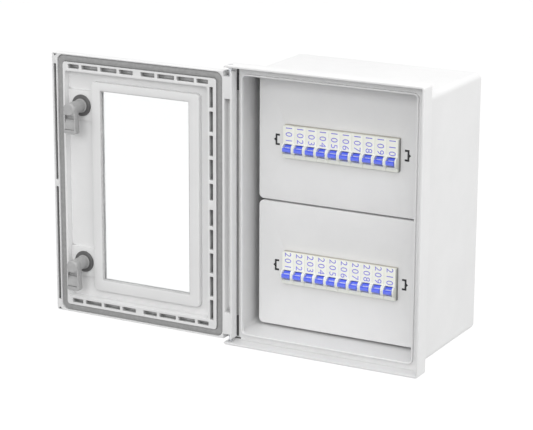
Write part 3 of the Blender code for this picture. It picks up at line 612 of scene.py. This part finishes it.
def pocket(shape, floor, mouth=MOUTH_ROUND, base=FLOOR_ROUND):
    """Sections of a cutter whose mouth and floor leave round edges in the pocket that it cuts."""
    turns = [math.radians(90 * step / FILLET_STEPS) for step in range(FILLET_STEPS + 1)]
    sections = [(-OVERCUT / 2, grow(shape, mouth))]
    sections += [(mouth * (1 - math.cos(turn)), grow(shape, mouth * (1 - math.sin(turn)))) for turn in turns]
    sections += [(floor - base * (1 - math.sin(turn)), grow(shape, base * (math.cos(turn) - 1)))
                 for turn in turns]
    return sections


def spans_from_centre(lengths, gaps):
    """Spans of a row of pockets, mirrored about zero, with a gap between them and one at the centre."""
    gap, centre_gap = gaps
    spans = []
    start = centre_gap / 2
    for length in lengths:
        spans += [(start, start + length), (-start - length, -start)]
        start += length + gap
    return spans


# ---- Pieces ----

def new_object(name, data):
    data.name = name
    piece = bpy.data.objects.new(name, data)
    bpy.context.collection.objects.link(piece)
    return piece


def modify(piece, kind, **settings):
    """Apply a modifier to a piece at once."""
    modifier = piece.modifiers.new(kind, kind)
    for key, value in settings.items():
        setattr(modifier, key, value)
    evaluated = piece.evaluated_get(bpy.context.evaluated_depsgraph_get())
    mesh = bpy.data.meshes.new_from_object(evaluated)
    piece.modifiers.clear()
    piece.data = mesh
    mesh.name = piece.name


def carve(piece, mesh, operation="DIFFERENCE"):
    """Cut a mesh out of a piece, or join it to the piece."""
    guide = new_object("guide", mesh)
    modify(piece, "BOOLEAN", operation=operation, solver="EXACT", object=guide)
    bpy.data.objects.remove(guide, do_unlink=True)


def bevel(piece, width, segments=2, angle=SMOOTH_ANGLE):
    modify(piece, "BEVEL", width=width, segments=segments, limit_method="ANGLE",
           angle_limit=math.radians(angle))


def take_mesh(piece):
    """Remove a piece and keep its mesh, which several pieces then share."""
    mesh = piece.data
    bpy.data.objects.remove(piece)
    return mesh


def attach(piece, body, slot, replaced=(), material=None, angle=SMOOTH_ANGLE):
    """Shade a piece, give it its material and let it ride on its body."""
    piece.data.materials.clear()
    piece.data.materials.append(material or MATERIALS[slot])
    piece.data.shade_smooth()
    piece.data.set_sharp_from_angle(angle=math.radians(angle))
    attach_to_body(piece, body)
    if replaced:
        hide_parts(*replaced)


def four_places(half_spans, y):
    """Points at a Y, at the corners of a rectangle about the middle."""
    return [(x, y, z) for x in (-half_spans[0], half_spans[0]) for z in (-half_spans[1], half_spans[1])]


def build_enclosure():
    """The moulded box: body, collar with no wall on the hinge side, web and raised sealing lip."""
    collar = (BASE_LOW.x, BASE_HIGH.x, BASE_LOW.z, BASE_HIGH.z, COLLAR_CORNER)
    half_width = BASE_HIGH.x - BODY_SIDE_STEP
    body = (-half_width, half_width, BODY_BOTTOM, BODY_TOP, BODY_CORNER)
    throat = (-half_width, half_width, BODY_BOTTOM, THROAT_TOP, BODY_CORNER)
    lip = (-LIP_HALF_WIDTH, LIP_HALF_WIDTH, LIP_BOTTOM, LIP_TOP, LIP_CORNER)
    inner_throat = (-half_width + BODY_WALL, half_width - BODY_WALL, THROAT_BOTTOM, THROAT_TOP - BODY_WALL,
                    BODY_CORNER - BODY_WALL)
    rear = BASE_HIGH.y - BASE_LOW.y
    stations = [
        (rear, grow(body, -END_INSET), 0),
        (rear, body, REAR_EDGE),
        (FLARE_DEPTH, body, 0.005),
        (COLLAR_DEPTH, throat, 0.0008),
        (COLLAR_DEPTH, collar, 0.0010),
        (0.0, collar, 0.0009),
        (0.0, grow(collar, -COLLAR_WALL), 0.0006),
        (WEB_DEPTH, grow(collar, -COLLAR_WALL), 0.0010),
        (WEB_DEPTH, lip, 0.0008),
        (LIP_DEPTH, lip, 0.0007),
        (LIP_DEPTH, grow(lip, -LIP_WALL), 0.0007),
        (COLLAR_DEPTH, grow(lip, -LIP_WALL), 0.0005),
        (COLLAR_DEPTH, inner_throat, 0.0008),
        (FLARE_DEPTH, grow(body, -BODY_WALL), 0.005),
        (rear - BODY_WALL, grow(body, -BODY_WALL), 0.005),
        (rear - BODY_WALL, grow(body, -END_INSET), 0),
    ]
    piece = new_object("enclosure_moulding", loft([fillets(stations)]))
    open_side = ((BASE_LOW.x - 2 * WIDE_OVERCUT, -LIP_HALF_WIDTH - OPEN_SIDE_EDGE),
                 (FRONT_Y - WIDE_OVERCUT, FRONT_Y + WEB_DEPTH),
                 (BASE_LOW.z + COLLAR_WALL, BASE_HIGH.z - COLLAR_WALL))
    carve(piece, boxes([open_side]))
    channel = [(WEB_DEPTH + depth, shape)
               for depth, shape in pocket(HINGE_CHANNEL, HINGE_CHANNEL_DEPTH, base=0.0003)]
    carve(piece, loft([channel], steps=3))
    pivot_x, pivot_y, _ = PIVOTS["door_hinge"]
    ends = [(pivot_x, pivot_y, z) for z in (BASE_LOW.z, BASE_HIGH.z)]
    carve(piece, rods(ends, PIN_HOLE_RADIUS, HOLE_CUTTER, "Z"))
    boss_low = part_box("mounting_frame")[1].y + GAP
    boss_high = BASE_HIGH.y - BODY_WALL / 2
    bosses = four_places(BOSS_PLACES, (boss_low + boss_high) / 2)
    carve(piece, rods(bosses, BOSS_RADIUS, boss_high - boss_low), "UNION")
    carve(piece, rods(four_places(WALL_HOLE_PLACES, BASE_HIGH.y), WALL_HOLE_RADIUS, HOLE_CUTTER))
    attach(piece, "enclosure", "enclosure_grey", ["enclosure_base"])


def clip_outline(side, height, shrink=0.0):
    """Bracket-shaped outline of a clip slot, with its nib on the outer side."""
    outer, inner = CLIP_X[side] - shrink, CLIP_X[side] - CLIP_TICK + shrink
    half, line = CLIP_HALF_HEIGHT - shrink, CLIP_LINE - 2 * shrink
    points = [(inner, half), (inner, half - line), (outer - line, half - line), (outer - line, line - half),
              (inner, line - half), (inner, -half), (outer, -half), (outer, -CLIP_NIB),
              (outer + CLIP_NIB, 0), (outer, CLIP_NIB), (outer, half)]
    return [(side * x, height + z) for x, z in points]


def build_covers():
    """Two cover panels with round edges, each with the breakers' slot and a black snap clip at each end."""
    for name, first in ROWS:
        low, high, face, back = node_span(f"cover_panel_{name}")
        shape = box_shape(low, high, COVER_CORNER)
        inner = grow(shape, -COVER_WALL)
        stations = [(face, grow(shape, -0.02), 0), (face, shape, 0.0014), (back, shape, 0.0006),
                    (back, inner, 0.0006), (face + COVER_SHEET, inner, 0.0010),
                    (face + COVER_SHEET, grow(inner, -0.02), 0)]
        piece = new_object(f"cover_{name}", loft([fillets(stations)]))
        row_low, row_high, height = row_span(first)
        slot = (row_low.x - SLOT_MARGIN, row_high.x + SLOT_MARGIN, height - FACE_HALF - SLOT_MARGIN,
                height + FACE_HALF + SLOT_MARGIN, 0.0006)
        carve(piece, loft([[(face + depth, section) for depth, section in pocket(slot, 0.008)]]))
        for side, label in ((-1, "left"), (1, "right")):
            carve(piece, prism(clip_outline(side, height), (face - 0.003, face + 0.006)))
            clip = new_object(f"snap_clip_{name}_{label}",
                              prism(clip_outline(side, height, CLIP_GAP),
                                    (face + CLIP_SINK, face + COVER_SHEET + CLIP_TAIL)))
            attach(clip, "enclosure", "nut_dark", material=CLIP_BLACK)
        attach(piece, "enclosure", "cover_grey", [f"cover_panel_{name}"])


# ---- Breakers ----

BREAKER_LOW, BREAKER_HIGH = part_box("breaker_body_101")
BREAKER_CENTRE = (BREAKER_LOW + BREAKER_HIGH) / 2
BREAKER_HALF = (BREAKER_HIGH - BREAKER_LOW) / 2
TOGGLE_AXIS = Vector(PIVOTS["toggle_turn_101"])
TOGGLE_RISE = TOGGLE_AXIS.z - BREAKER_CENTRE.z
FACE_Y = BREAKER_LOW.y + FACE_RISE
SHOULDER_Y = FRONT_Y + SHOULDER_DEPTH
RAIL_LIPS_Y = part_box("din_rail_upper")[0].y


def cheek_points():
    """(y, z) points of the round cheeks beside a toggle, from the face's upper part to its lower part."""
    turns = [math.radians(angle) for angle in range(0, 181, 10)]
    return [(FACE_Y - FACE_RISE * math.sin(turn) ** CHEEK_BLUNTNESS,
             TOGGLE_RISE + CHEEK_HALF_HEIGHT * math.cos(turn)) for turn in turns]


def breaker_profile():
    """Side outline (y, z) about the row's centre line: rail hooks, shoulders, face and round cheeks."""
    hook = RAIL_HALF + GAP
    lip_back = RAIL_LIPS_Y + RAIL_LIP
    rear = [(RAIL_LIPS_Y - GAP, hook), (lip_back, hook), (lip_back, HOOK_REACH), (BREAKER_HIGH.y, HOOK_REACH),
            (BREAKER_HIGH.y, BREAKER_HALF.z), (SHOULDER_Y, BREAKER_HALF.z), (SHOULDER_Y, FACE_HALF)]
    lower_rear = [(y, -z) for y, z in reversed(rear)]
    return rear + [(FACE_Y, FACE_HALF)] + cheek_points() + [(FACE_Y, -FACE_HALF)] + lower_rear


def breaker_mesh():
    """One breaker body about its row's centre line, with bevelled edges and the toggle's slot."""
    half_width = MODULE_PITCH / 2 - BODY_GAP
    piece = new_object("breaker", side_extrusion(breaker_profile(), (-half_width, half_width)))
    bevel(piece, BREAKER_EDGE)
    mouth = [(FACE_Y - FACE_RISE - OVERCUT, TOGGLE_RISE + DRUM_SLOT_RADIUS + SLOT_MOUTH[0]),
             (FACE_Y, TOGGLE_RISE + DRUM_SLOT_RADIUS + SLOT_MOUTH[1])]
    drum = arc((TOGGLE_AXIS.y, TOGGLE_RISE), DRUM_SLOT_RADIUS, 60, -60, 16)
    lower_mouth = [(y, 2 * TOGGLE_RISE - z) for y, z in reversed(mouth)]
    outline = mouth + drum + lower_mouth
    carve(piece, side_extrusion(outline, (-TOGGLE_SLOT_HALF_WIDTH, TOGGLE_SLOT_HALF_WIDTH)))
    return take_mesh(piece)


def toggle_mesh():
    """A drum about the X axis, with a lever whose tip has a sloped grip step on its right part."""
    low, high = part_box("breaker_toggle_101")
    half_width = (high.x - low.x) / 2
    root = math.degrees(math.asin(LEVER_HALF_HEIGHT / DRUM_RADIUS))
    drum = arc((0, 0), DRUM_RADIUS, 180 - root, root - 180, 40)
    tip = arc((0.0018 - LEVER_REACH, 0.0018 - LEVER_HALF_HEIGHT), 0.0018, 270, 180, 5)
    tip += arc((0.0007 - LEVER_REACH, LEVER_HALF_HEIGHT - 0.0007), 0.0007, 180, 90, 3)
    piece = new_object("toggle", side_extrusion(drum + tip, (-half_width, half_width)))
    bevel(piece, 0.0005, segments=3, angle=50.0)
    low_z, high_z = GRIP_STEP_Z
    step = [(-LEVER_REACH - OVERCUT, low_z), (-LEVER_REACH - HAIRLINE, low_z),
            (-LEVER_REACH + GRIP_STEP_DEPTH, high_z), (-LEVER_REACH - OVERCUT, high_z)]
    carve(piece, side_extrusion(step, (GRIP_STEP_X, half_width + OVERCUT)))
    return take_mesh(piece)


def mark_mesh():
    """A painted highlight: the light band across the top of a toggle's lever, where its top face catches the
    light.
    """
    span = (LEVER_HALF_HEIGHT - 2 * HAIRLINE, LEVER_HALF_HEIGHT + HAIRLINE)
    return boxes([((GRIP_STEP_X, HIGHLIGHT_END_X), HIGHLIGHT_Y, span)])


def number_mesh(number):
    """The way number in raised ink, reading from top to bottom, about its own centre."""
    text = bpy.data.curves.new("number", "FONT")
    text.body = str(number)
    text.align_x = "CENTER"
    text.align_y = "CENTER"
    text.size = NUMBER_HEIGHT / CAPITAL_HEIGHT
    text.extrude = NUMBER_INK
    text.space_character = 1.22
    text.offset = -0.00008
    holder = new_object("number", text)
    mesh = bpy.data.meshes.new_from_object(holder.evaluated_get(bpy.context.evaluated_depsgraph_get()))
    bpy.data.objects.remove(holder, do_unlink=True)
    for axis in "XY":
        mesh.transform(Matrix.Rotation(math.radians(90), 4, axis))
    return mesh


def build_breakers():
    """Twenty breakers: a moulded body with its printed number, and a toggle on its own axis."""
    body_mesh = breaker_mesh()
    lever_mesh = toggle_mesh()
    highlight_band = mark_mesh()
    for number in WAYS:
        low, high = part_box(f"breaker_body_{number}")
        centre = (low + high) / 2
        body = new_object(f"breaker_{number}", body_mesh)
        body.location = (centre.x, 0, centre.z)
        attach(body, "enclosure", "breaker_white", [f"breaker_body_{number}"])
        lever = new_object(f"toggle_lever_{number}", lever_mesh)
        lever.location = PIVOTS[f"toggle_turn_{number}"]
        attach(lever, f"toggle_{number}", "toggle_blue", [f"breaker_toggle_{number}"])
        # Each lever carries a painted highlight band along its top.
        highlight = new_object(f"toggle_highlight_{number}", highlight_band)
        highlight.location = lever.location
        attach(highlight, f"toggle_{number}", "toggle_blue", material=PAINTED_HIGHLIGHT)
        label = new_object(f"way_number_{number}", number_mesh(number))
        label.location = (centre.x, FACE_Y - NUMBER_INK / 2, centre.z + FACE_HALF - NUMBER_DROP)
        attach(label, "enclosure", "toggle_blue", material=INK)


def build_row_trim():
    """The dark end plate beside each row's last breaker and the thin strip along the top of the row."""
    for name, first in ROWS:
        row_low, row_high, height = row_span(first)
        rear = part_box(f"cover_panel_{name}")[0].y + COVER_SHEET
        inner, top = row_high.x + GAP, height + FACE_HALF
        plate = ((inner, inner + END_PLATE), (FACE_Y + END_PLATE_SETBACK, rear), (height - FACE_HALF, top))
        strip = ((row_low.x, row_high.x), (FACE_Y + STRIP_SETBACK, rear),
                 (top + HAIRLINE, top + HAIRLINE + STRIP_SHEET))
        for label, span, material in (("row_end", plate, END_GREY), ("row_strip", strip, STRIP_BROWN)):
            piece = new_object(f"{label}_{name}", boxes([span]))
            bevel(piece, HAIRLINE)
            attach(piece, "enclosure", "nut_dark", material=material)


def channel_strip(name, z_span, rise):
    """A strip with rounded ends lying in the hinge channel, standing a little out of it."""
    x_low, x_high = HINGE_CHANNEL[:2]
    shape = (x_low + STRIP_MARGIN, x_high - STRIP_MARGIN, *z_span, STRIP_CORNER)
    face = WEB_DEPTH + rise
    stations = [(face, grow(shape, -0.001), 0), (face, shape, 0.0004),
                (WEB_DEPTH + HINGE_CHANNEL_DEPTH - HAIRLINE, shape, 0)]
    return new_object(name, loft([fillets(stations)]))


def build_buffers():
    """Painted shade in the channel beside the hinge edge: a grey strip along it, and at each end a toothed
    black strip and a flat black sheet.
    """
    middle = HINGE_CHANNEL[0] + SHADE_NOTCH_X
    surface = FRONT_Y + WEB_DEPTH
    for name, side in ENDS:
        strip = channel_strip(f"hinge_shade_teeth_{name}", sorted(side * z for z in SHADE_TEETH_SPAN), SHADE_TEETH_RISE)
        notches = [((middle, middle + 0.01), (surface - 0.001, surface + SHADE_NOTCH_DEPTH),
                    sorted((side * z, side * (z + SHADE_TOOTH)))) for z in SHADE_TEETH]
        carve(strip, boxes(notches))
        attach(strip, "enclosure", "gasket_grey", material=CHANNEL_SHADE_BLACK)
    for name, side in ENDS:
        span = (FOOT_X, (surface - FOOT_SHEET, surface - FOOT_GAP), sorted(side * z for z in FOOT_Z))
        foot = new_object(f"hinge_shade_foot_{name}", boxes([span]))
        bevel(foot, HAIRLINE)
        attach(foot, "enclosure", "gasket_grey", material=CHANNEL_SHADE_BLACK)
    end = SHADE_TEETH_SPAN[0] - GAP
    channel_shade_strip = channel_strip("hinge_liner", (-end, end), CHANNEL_SHADE_RISE)
    attach(channel_shade_strip, "enclosure", "gasket_grey", material=CHANNEL_SHADE_GREY)


# ---- Door ----

def groove_shapes():
    """Outer and inner shapes of the gasket's groove."""
    outer = door_shape(GROOVE_S, GROOVE_HALF_HEIGHT, GROOVE_CORNERS[0])
    inner_s = (GROOVE_S[0] + GROOVE_WIDTH, GROOVE_S[1] - GROOVE_WIDTH)
    return outer, door_shape(inner_s, GROOVE_HALF_HEIGHT - GROOVE_WIDTH, GROOVE_CORNERS[1])


def door_pockets():
    """Cutter sections of every moulded pocket in the ribs and borders."""
    spans = [(door_x(SIDE_POCKET_S), span) for span in spans_from_centre(SIDE_POCKETS, SIDE_POCKET_GAPS)]
    centre_x = DOOR_HIGH.x - RIB_CENTRE_S
    for low, high in spans_from_centre(END_POCKETS, END_POCKET_GAPS):
        for z_span in (END_POCKET_Z, (-END_POCKET_Z[1], -END_POCKET_Z[0])):
            spans.append(((centre_x + low, centre_x + high), z_span))
    spans += [(door_x(EDGE_POCKET_S), span) for span in spans_from_centre(EDGE_POCKETS, EDGE_POCKET_GAPS)]
    pockets = [pocket((*x_span, *z_span, POCKET_CORNER), POCKET_DEPTH) for x_span, z_span in spans]
    hinge = door_shape(HINGE_POCKET_S, HINGE_POCKET_HALF_HEIGHT, HINGE_POCKET_CORNER)
    return pockets + [pocket(hinge, HINGE_POCKET_DEPTH)]


def build_door_shell():
    """The door's moulding, with round edges on every rib, groove and pocket."""
    thickness = DOOR_HIGH.y - DOOR_LOW.y
    outline = box_shape(DOOR_LOW, DOOR_HIGH, DOOR_CORNER)
    stations = [(0, grow(outline, -0.0012), 0), (0, outline, 0.0006), (thickness, outline, DOOR_EDGE_ROUND),
                (thickness, grow(outline, -0.02), 0)]
    piece = new_object("door_moulding", loft([fillets(stations)]))
    outer, inner = groove_shapes()
    walls = pocket(outer, GROOVE_DEPTH)[:-1] + [(GROOVE_DEPTH, grow(outer, -FLOOR_ROUND))]
    island = [(depth, grow(inner, outer[0] - section[0])) for depth, section in walls]
    carve(piece, loft([walls + island[::-1]], closed=True))
    recess = door_shape(RECESS_S, RECESS_HALF_HEIGHT, RECESS_CORNER)
    carve(piece, loft([pocket(recess, RECESS_DEPTH)]))
    locks = [PIVOTS[f"lock_turn_{name}"] for name, _ in ENDS]
    pads = []
    for _, _, height in locks:
        shape = door_shape(PAD_S, PAD_HALF_HEIGHT, PAD_CORNER, height)
        pads.append(fillets([(PAD_DEPTH, grow(shape, -0.005), 0), (PAD_DEPTH, shape, 0.0003),
                             (RECESS_DEPTH + 0.001, shape, 0)]))
    carve(piece, loft(pads), "UNION")
    window = pocket(window_shape(), WINDOW_CUT, base=0.0002)
    carve(piece, loft([[(thickness - depth, section) for depth, section in window]]))
    carve(piece, loft(door_pockets(), steps=3))
    for side in (-1, 1):
        corner = [(DOOR_LOW.x + x, side * (DOOR_HIGH.z - z)) for x, z in CORNER_POCKET]
        carve(piece, prism(corner, (-OVERCUT, CORNER_POCKET_DEPTH)))
    carve(piece, boxes(hinge_notches(thickness)))
    carve(piece, rods(locks, LOCK_RADIUS + GAP, LOCK_CUTTER, steps=ROUND_STEPS))
    pin_low, pin_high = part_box("hinge_pin_upper")
    centre = (pin_low + pin_high) / 2
    pins = [(centre.x, centre.y, side * centre.z) for side in (-1, 1)]
    carve(piece, rods(pins, PIN_HOLE_RADIUS, pin_high.z - pin_low.z + 2 * GAP, "Z"))
    attach(piece, "door", "enclosure_grey", ["door_shell"], DOOR_PLASTIC, angle=30.0)


def hinge_notches(thickness):
    """Boxes that open the top and bottom of the hinge edge round the pins."""
    y_span = (FRONT_Y - OVERCUT, FRONT_Y + thickness - NOTCH_WALL)
    z_span = (NOTCH_LOW, DOOR_HIGH.z + WIDE_OVERCUT)
    return [(door_x(NOTCH_S), y_span, [side * z for z in z_span]) for side in (-1, 1)]


def build_door_trim():
    """Gasket, window frame, pane and the grey seal that lines the window's edge."""
    outer, inner = groove_shapes()
    _, _, face, base = node_span("door_gasket")
    outer, inner = grow(outer, -GAP), grow(inner, GAP)
    stations = [(face, grow(outer, -GASKET_CROWN), 0.0006), (face + 0.0006, outer, 0.0022),
                (base, outer, 0.0006), (base, inner, 0.0006),
                (face + 0.0006, inner, 0.0022), (face, grow(inner, GASKET_CROWN), 0.0006)]
    gasket = new_object("gasket_ring", loft([fillets(stations, True)], closed=True))
    attach(gasket, "door", "gasket_grey", ["door_gasket"], angle=60.0)

    pane_low, pane_high, pane_face, pane_back = node_span("window_pane")
    pane_shape = box_shape(pane_low, pane_high, WINDOW_CORNER)
    stations = [(pane_face, grow(pane_shape, -0.01), 0), (pane_face, pane_shape, 0.0003),
                (pane_back, pane_shape, 0.0003), (pane_back, grow(pane_shape, -0.01), 0)]
    pane = new_object("window_sheet", loft([fillets(stations)]))
    attach(pane, "door", "window_clear", ["window_pane"])

    frame_low, frame_high, frame_face, frame_back = node_span("window_frame")
    rim = box_shape(frame_low, frame_high, FRAME_CORNER)
    window = window_shape()
    seat = grow(pane_shape, GAP)
    stations = [(frame_face, rim, 0.0014), (frame_back, rim, 0.0003), (frame_back, seat, 0.0003),
                (pane_face - GAP, seat, 0.0002), (pane_face - GAP, window, 0.0003),
                (frame_face, window, 0.0008)]
    ring = new_object("window_rim", loft([fillets(stations, True)], closed=True))
    attach(ring, "door", "enclosure_grey", ["window_frame"])

    thickness = DOOR_HIGH.y - DOOR_LOW.y
    seal_in, seal_out = grow(window, -SEAL_SHEET), grow(window, -HAIRLINE)
    for name, front, back in (("inner", frame_face + SEAL_SETBACK, pane_face - HAIRLINE),
                              ("outer", pane_back + HAIRLINE, thickness - SEAL_SETBACK)):
        stations = [(front, seal_out, 0.0002), (back, seal_out, 0),
                    (back, seal_in, 0), (front, seal_in, 0.0004)]
        seal = new_object(f"window_seal_{name}", loft([fillets(stations, True)], closed=True))
        attach(seal, "door", "gasket_grey", material=WINDOW_SEAL)


def build_hinge_pins():
    for name, _ in ENDS:
        low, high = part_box(f"hinge_pin_{name}")
        centre, radius = (low + high) / 2, (high.x - low.x) / 2
        pin = new_object(f"pin_{name}", rods([centre], radius, high.z - low.z, "Z", steps=FINE_ROD_STEPS))
        bevel(pin, 0.0006, segments=3, angle=60.0)
        attach(pin, "door", "zinc_steel", [f"hinge_pin_{name}"])


# ---- Locks ----

def build_lock(name):
    """A quarter-turn lock: turned body and ring nut on the door, cast cam and spindle on their own body."""
    place = PIVOTS[f"lock_turn_{name}"]
    centre = (place[0], place[2])
    body_low, body_high, inner_end, outer_face = node_span(f"lock_body_{name}")
    nut_low, nut_high, nut_face, nut_back = node_span(f"lock_nut_{name}")
    mouth_floor = outer_face - LOCK_MOUTH_DEPTH
    build_barrel(name, centre, (inner_end, nut_face - HAIRLINE, mouth_floor, outer_face),
                 (body_high.x - body_low.x) / 2)

    hole, rim = LOCK_RADIUS + GAP, (nut_high.x - nut_low.x) / 2
    profile = [(hole, nut_face + GAP), (hole + GAP, nut_face), (rim - 0.0030, nut_face),
               (rim - 0.0012, nut_face + 0.0004), (rim - 0.0003, nut_face + 0.0010),
               (rim, nut_face + 0.0016), (rim, nut_back - 0.0002), (rim - 0.0002, nut_back), (hole, nut_back)]
    nut = new_object(f"ring_nut_{name}", turned_ring(profile, centre))
    attach(nut, "door", "nut_dark", [f"lock_nut_{name}"])

    build_spindle(name, centre, mouth_floor, outer_face)
    build_cam(name, centre)


def build_barrel(name, centre, depths, flange):
    """The lock's body: a tube with a collar behind the nut and a flange with a mouth on the outside."""
    inner_end, collar_back, mouth_floor, outer_face = depths
    collar_face = collar_back - LOCK_COLLAR_SHEET
    flange_back = outer_face - LOCK_FLANGE
    profile = [(LOCK_BORE_RADIUS, inner_end), (LOCK_RADIUS - 0.0004, inner_end),
               (LOCK_RADIUS, inner_end + 0.0004), (LOCK_RADIUS, collar_face),
               (LOCK_COLLAR_RADIUS - 0.0003, collar_face), (LOCK_COLLAR_RADIUS, collar_face + 0.0003),
               (LOCK_COLLAR_RADIUS, collar_back), (LOCK_RADIUS, collar_back), (LOCK_RADIUS, flange_back),
               (flange, flange_back), (flange, outer_face - 0.0012), (flange - 0.0004, outer_face - 0.0004),
               (flange - 0.0012, outer_face), (LOCK_MOUTH_RADIUS + 0.0005, outer_face),
               (LOCK_MOUTH_RADIUS, outer_face - 0.0005), (LOCK_MOUTH_RADIUS, mouth_floor),
               (LOCK_BORE_RADIUS, mouth_floor)]
    barrel = new_object(f"lock_barrel_{name}", turned_ring(profile, centre))
    attach(barrel, "door", "lock_metal", [f"lock_body_{name}"])


def build_spindle(name, centre, mouth_floor, outer_face):
    """The shaft, with its disc against the cam and a flat key bit in the lock's mouth."""
    low, _, disc_face, _ = node_span(f"lock_spindle_{name}")
    disc_radius = centre[0] - low.x
    disc_back = node_span(f"lock_cam_{name}")[2] - GAP
    shaft_radius = LOCK_BORE_RADIUS - GAP
    profile = [(disc_radius - 0.0011, disc_face), (disc_radius - 0.0002, disc_face + 0.0008),
               (disc_radius, disc_face + 0.0010), (disc_radius, disc_back), (shaft_radius, disc_back),
               (shaft_radius, mouth_floor), (shaft_radius - 0.0005, mouth_floor + 0.0005)]
    piece = new_object(f"spindle_{name}", turned_solid(profile, centre))
    half_width, half_height = KEY_BIT
    bit_shape = (centre[0] - half_width, centre[0] + half_width, centre[1] - half_height,
                 centre[1] + half_height, 0.0006)
    bit_face = outer_face - KEY_BIT_SETBACK
    bit = fillets([(mouth_floor - 0.001, bit_shape, 0), (bit_face, bit_shape, 0.0003),
                   (bit_face, grow(bit_shape, -0.0006), 0)])
    carve(piece, loft([bit], steps=3), "UNION")
    attach(piece, f"lock_{name}", "lock_metal", [f"lock_spindle_{name}"])


def build_cam(name, centre):
    """The cast cam: a round hub and a hanging block, with a sloped hollow under the hub and a raised arm."""
    low, high, face, back = node_span(f"lock_cam_{name}")
    half_width = (high.x - low.x) / 2
    reach = low.z - centre[1]
    outline = arc((CAM_CORNER - half_width, reach + CAM_CORNER), CAM_CORNER, 180, 270, 6)
    outline += arc((half_width - CAM_CORNER, reach + CAM_CORNER), CAM_CORNER, 270, 360, 6)
    outline += arc((0, 0), CAM_HUB_RADIUS, -CAM_HUB_TURN, 180 + CAM_HUB_TURN, 40)
    piece = new_object(f"cam_{name}", prism([(centre[0] + x, centre[1] + z) for x, z in outline],
                                            (face + CAM_ARM_STEP, back)))
    bevel(piece, 0.0007, angle=60.0)

    def cut(x_low, profile):
        """Cut a (depth, height) outline out of the cam, from x_low to the arm, in X from the cam's middle."""
        points = [(FRONT_Y + depth, centre[1] + height) for depth, height in profile]
        carve(piece, side_extrusion(points, (centre[0] + x_low, centre[0] + CAM_ARM_X)))

    front, block, floor = face - OVERCUT, face + CAM_BLOCK_STEP, back - CAM_PLATE
    edge = CAM_ARM_THICKNESS - half_width
    top, foot, crest = CAM_HOLLOW
    lip = reach + CAM_LIP
    groove = block + CAM_GROOVE_DEPTH
    cut(-half_width - OVERCUT, [(front, top), (block, top), (block, lip), (front, lip)])
    cut(edge, [(front, top), (floor, top), (floor, foot), (block + CAM_SLOPE_DEPTH, foot), (block, crest),
               (front, crest)])
    cut(edge, [(front, lip), (groove, lip), (groove, lip + CAM_GROOVE), (front, lip + CAM_GROOVE)])
    hub = CAM_HUB_RADIUS - HAIRLINE
    hub_profile = [(CAM_HUB_RADIUS - 0.0010, face), (hub, face + 0.0009), (hub, back - 0.001)]
    carve(piece, turned_solid(hub_profile, centre), "UNION")
    bore = rods([(centre[0], FRONT_Y + face, centre[1])], LOCK_BORE_RADIUS, CAM_CUTTER, steps=FINE_ROD_STEPS)
    carve(piece, bore)
    attach(piece, f"lock_{name}", "lock_metal", [f"lock_cam_{name}"])


# ---- Kept frame nodes and studio ----

def repaint(node, slot):
    """Give a CAD node that is kept its procedural material."""
    materials = frame["nodes"][node].data.materials
    materials.clear()
    materials.append(MATERIALS[slot])


def area_light(name, place, size, power):
    light = bpy.data.lights.new(name, "AREA")
    light.shape = "RECTANGLE"
    light.size, light.size_y = size
    light.energy = power
    holder = new_object(name, light)
    holder.location = place
    holder.rotation_euler = (Vector(LIGHT_AIM) - Vector(place)).to_track_quat("-Z", "Y").to_euler()


def build_room():
    """Light from all round, strongest from behind, above and the right, and a plain white backdrop."""
    world = bpy.data.worlds.new("room")
    bpy.context.scene.world = world
    nodes = Nodes(world)
    direction = nodes.add("TexCoord")
    tilt = nodes.add("VectorMath", {1: ROOM_TILT}, operation="DOT_PRODUCT")
    nodes.join(direction, "Generated", tilt, 0)
    level = nodes.add("Math", {1: ROOM_LIGHT}, operation="ADD")
    nodes.join(tilt, "Value", level, 0)
    ray = nodes.add("LightPath")
    seen = nodes.add("Math", operation="MAXIMUM")
    nodes.join(ray, "Is Camera Ray", seen, 0)
    nodes.join(ray, "Is Transmission Ray", seen, 1)
    choice = nodes.add("Mix", {"B": BACKDROP_LIGHT})
    nodes.join(seen, "Value", choice, "Factor")
    nodes.join(level, "Value", choice, "A")
    background = nodes.set(nodes.tree.nodes["Background"], {"Color": (1, 1, 1, 1)})
    nodes.join(choice, "Result", background, "Strength")


def build_studio():
    """Three soft lights in the white room, and a pale floor well below the object."""
    build_room()
    for name, place, size, power in LIGHTS:
        area_light(name, place, size, power)
    floor_top = BASE_LOW.z - FLOOR_DROP
    span = (-FLOOR_SIZE, FLOOR_SIZE)
    floor = new_object("studio_floor", boxes([(span, span, (floor_top - FLOOR_SHEET, floor_top))]))
    nodes = Nodes(bpy.data.materials.new("studio_paper"))
    nodes.tint(nodes.noise(40.0, 4.0), grey(0.93), grey(0.96))
    nodes.set(nodes.shader, {"Roughness": 0.9})
    floor.data.materials.append(nodes.owner)
    floor.visible_diffuse = False


def build_camera():
    azimuth, elevation = math.radians(VIEW_AZIMUTH), math.radians(VIEW_ELEVATION)
    back = Vector((math.sin(azimuth) * math.cos(elevation), -math.cos(azimuth) * math.cos(elevation),
                   math.sin(elevation)))
    data = bpy.data.cameras.new("camera")
    data.lens = VIEW_LENS
    data.sensor_width = SENSOR_WIDTH
    data.clip_end = VIEW_END
    camera = new_object("camera", data)
    camera.rotation_mode = "QUATERNION"
    camera.location = VIEW_TARGET + back * VIEW_DISTANCE
    roll = Matrix.Rotation(math.radians(VIEW_ROLL), 4, back)
    camera.rotation_quaternion = roll.to_quaternion() @ (-back).to_track_quat("-Z", "Y")
    bpy.context.scene.camera = camera
    bpy.context.scene.view_settings.view_transform = "Standard"


build_camera()
build_studio()
build_enclosure()
build_covers()
build_breakers()
build_row_trim()
build_buffers()
build_door_shell()
build_door_trim()
build_hinge_pins()
for lock_name, _ in ENDS:
    build_lock(lock_name)
for kept in ("mounting_frame", "din_rail_upper", "din_rail_lower"):
    repaint(kept, "zinc_steel")
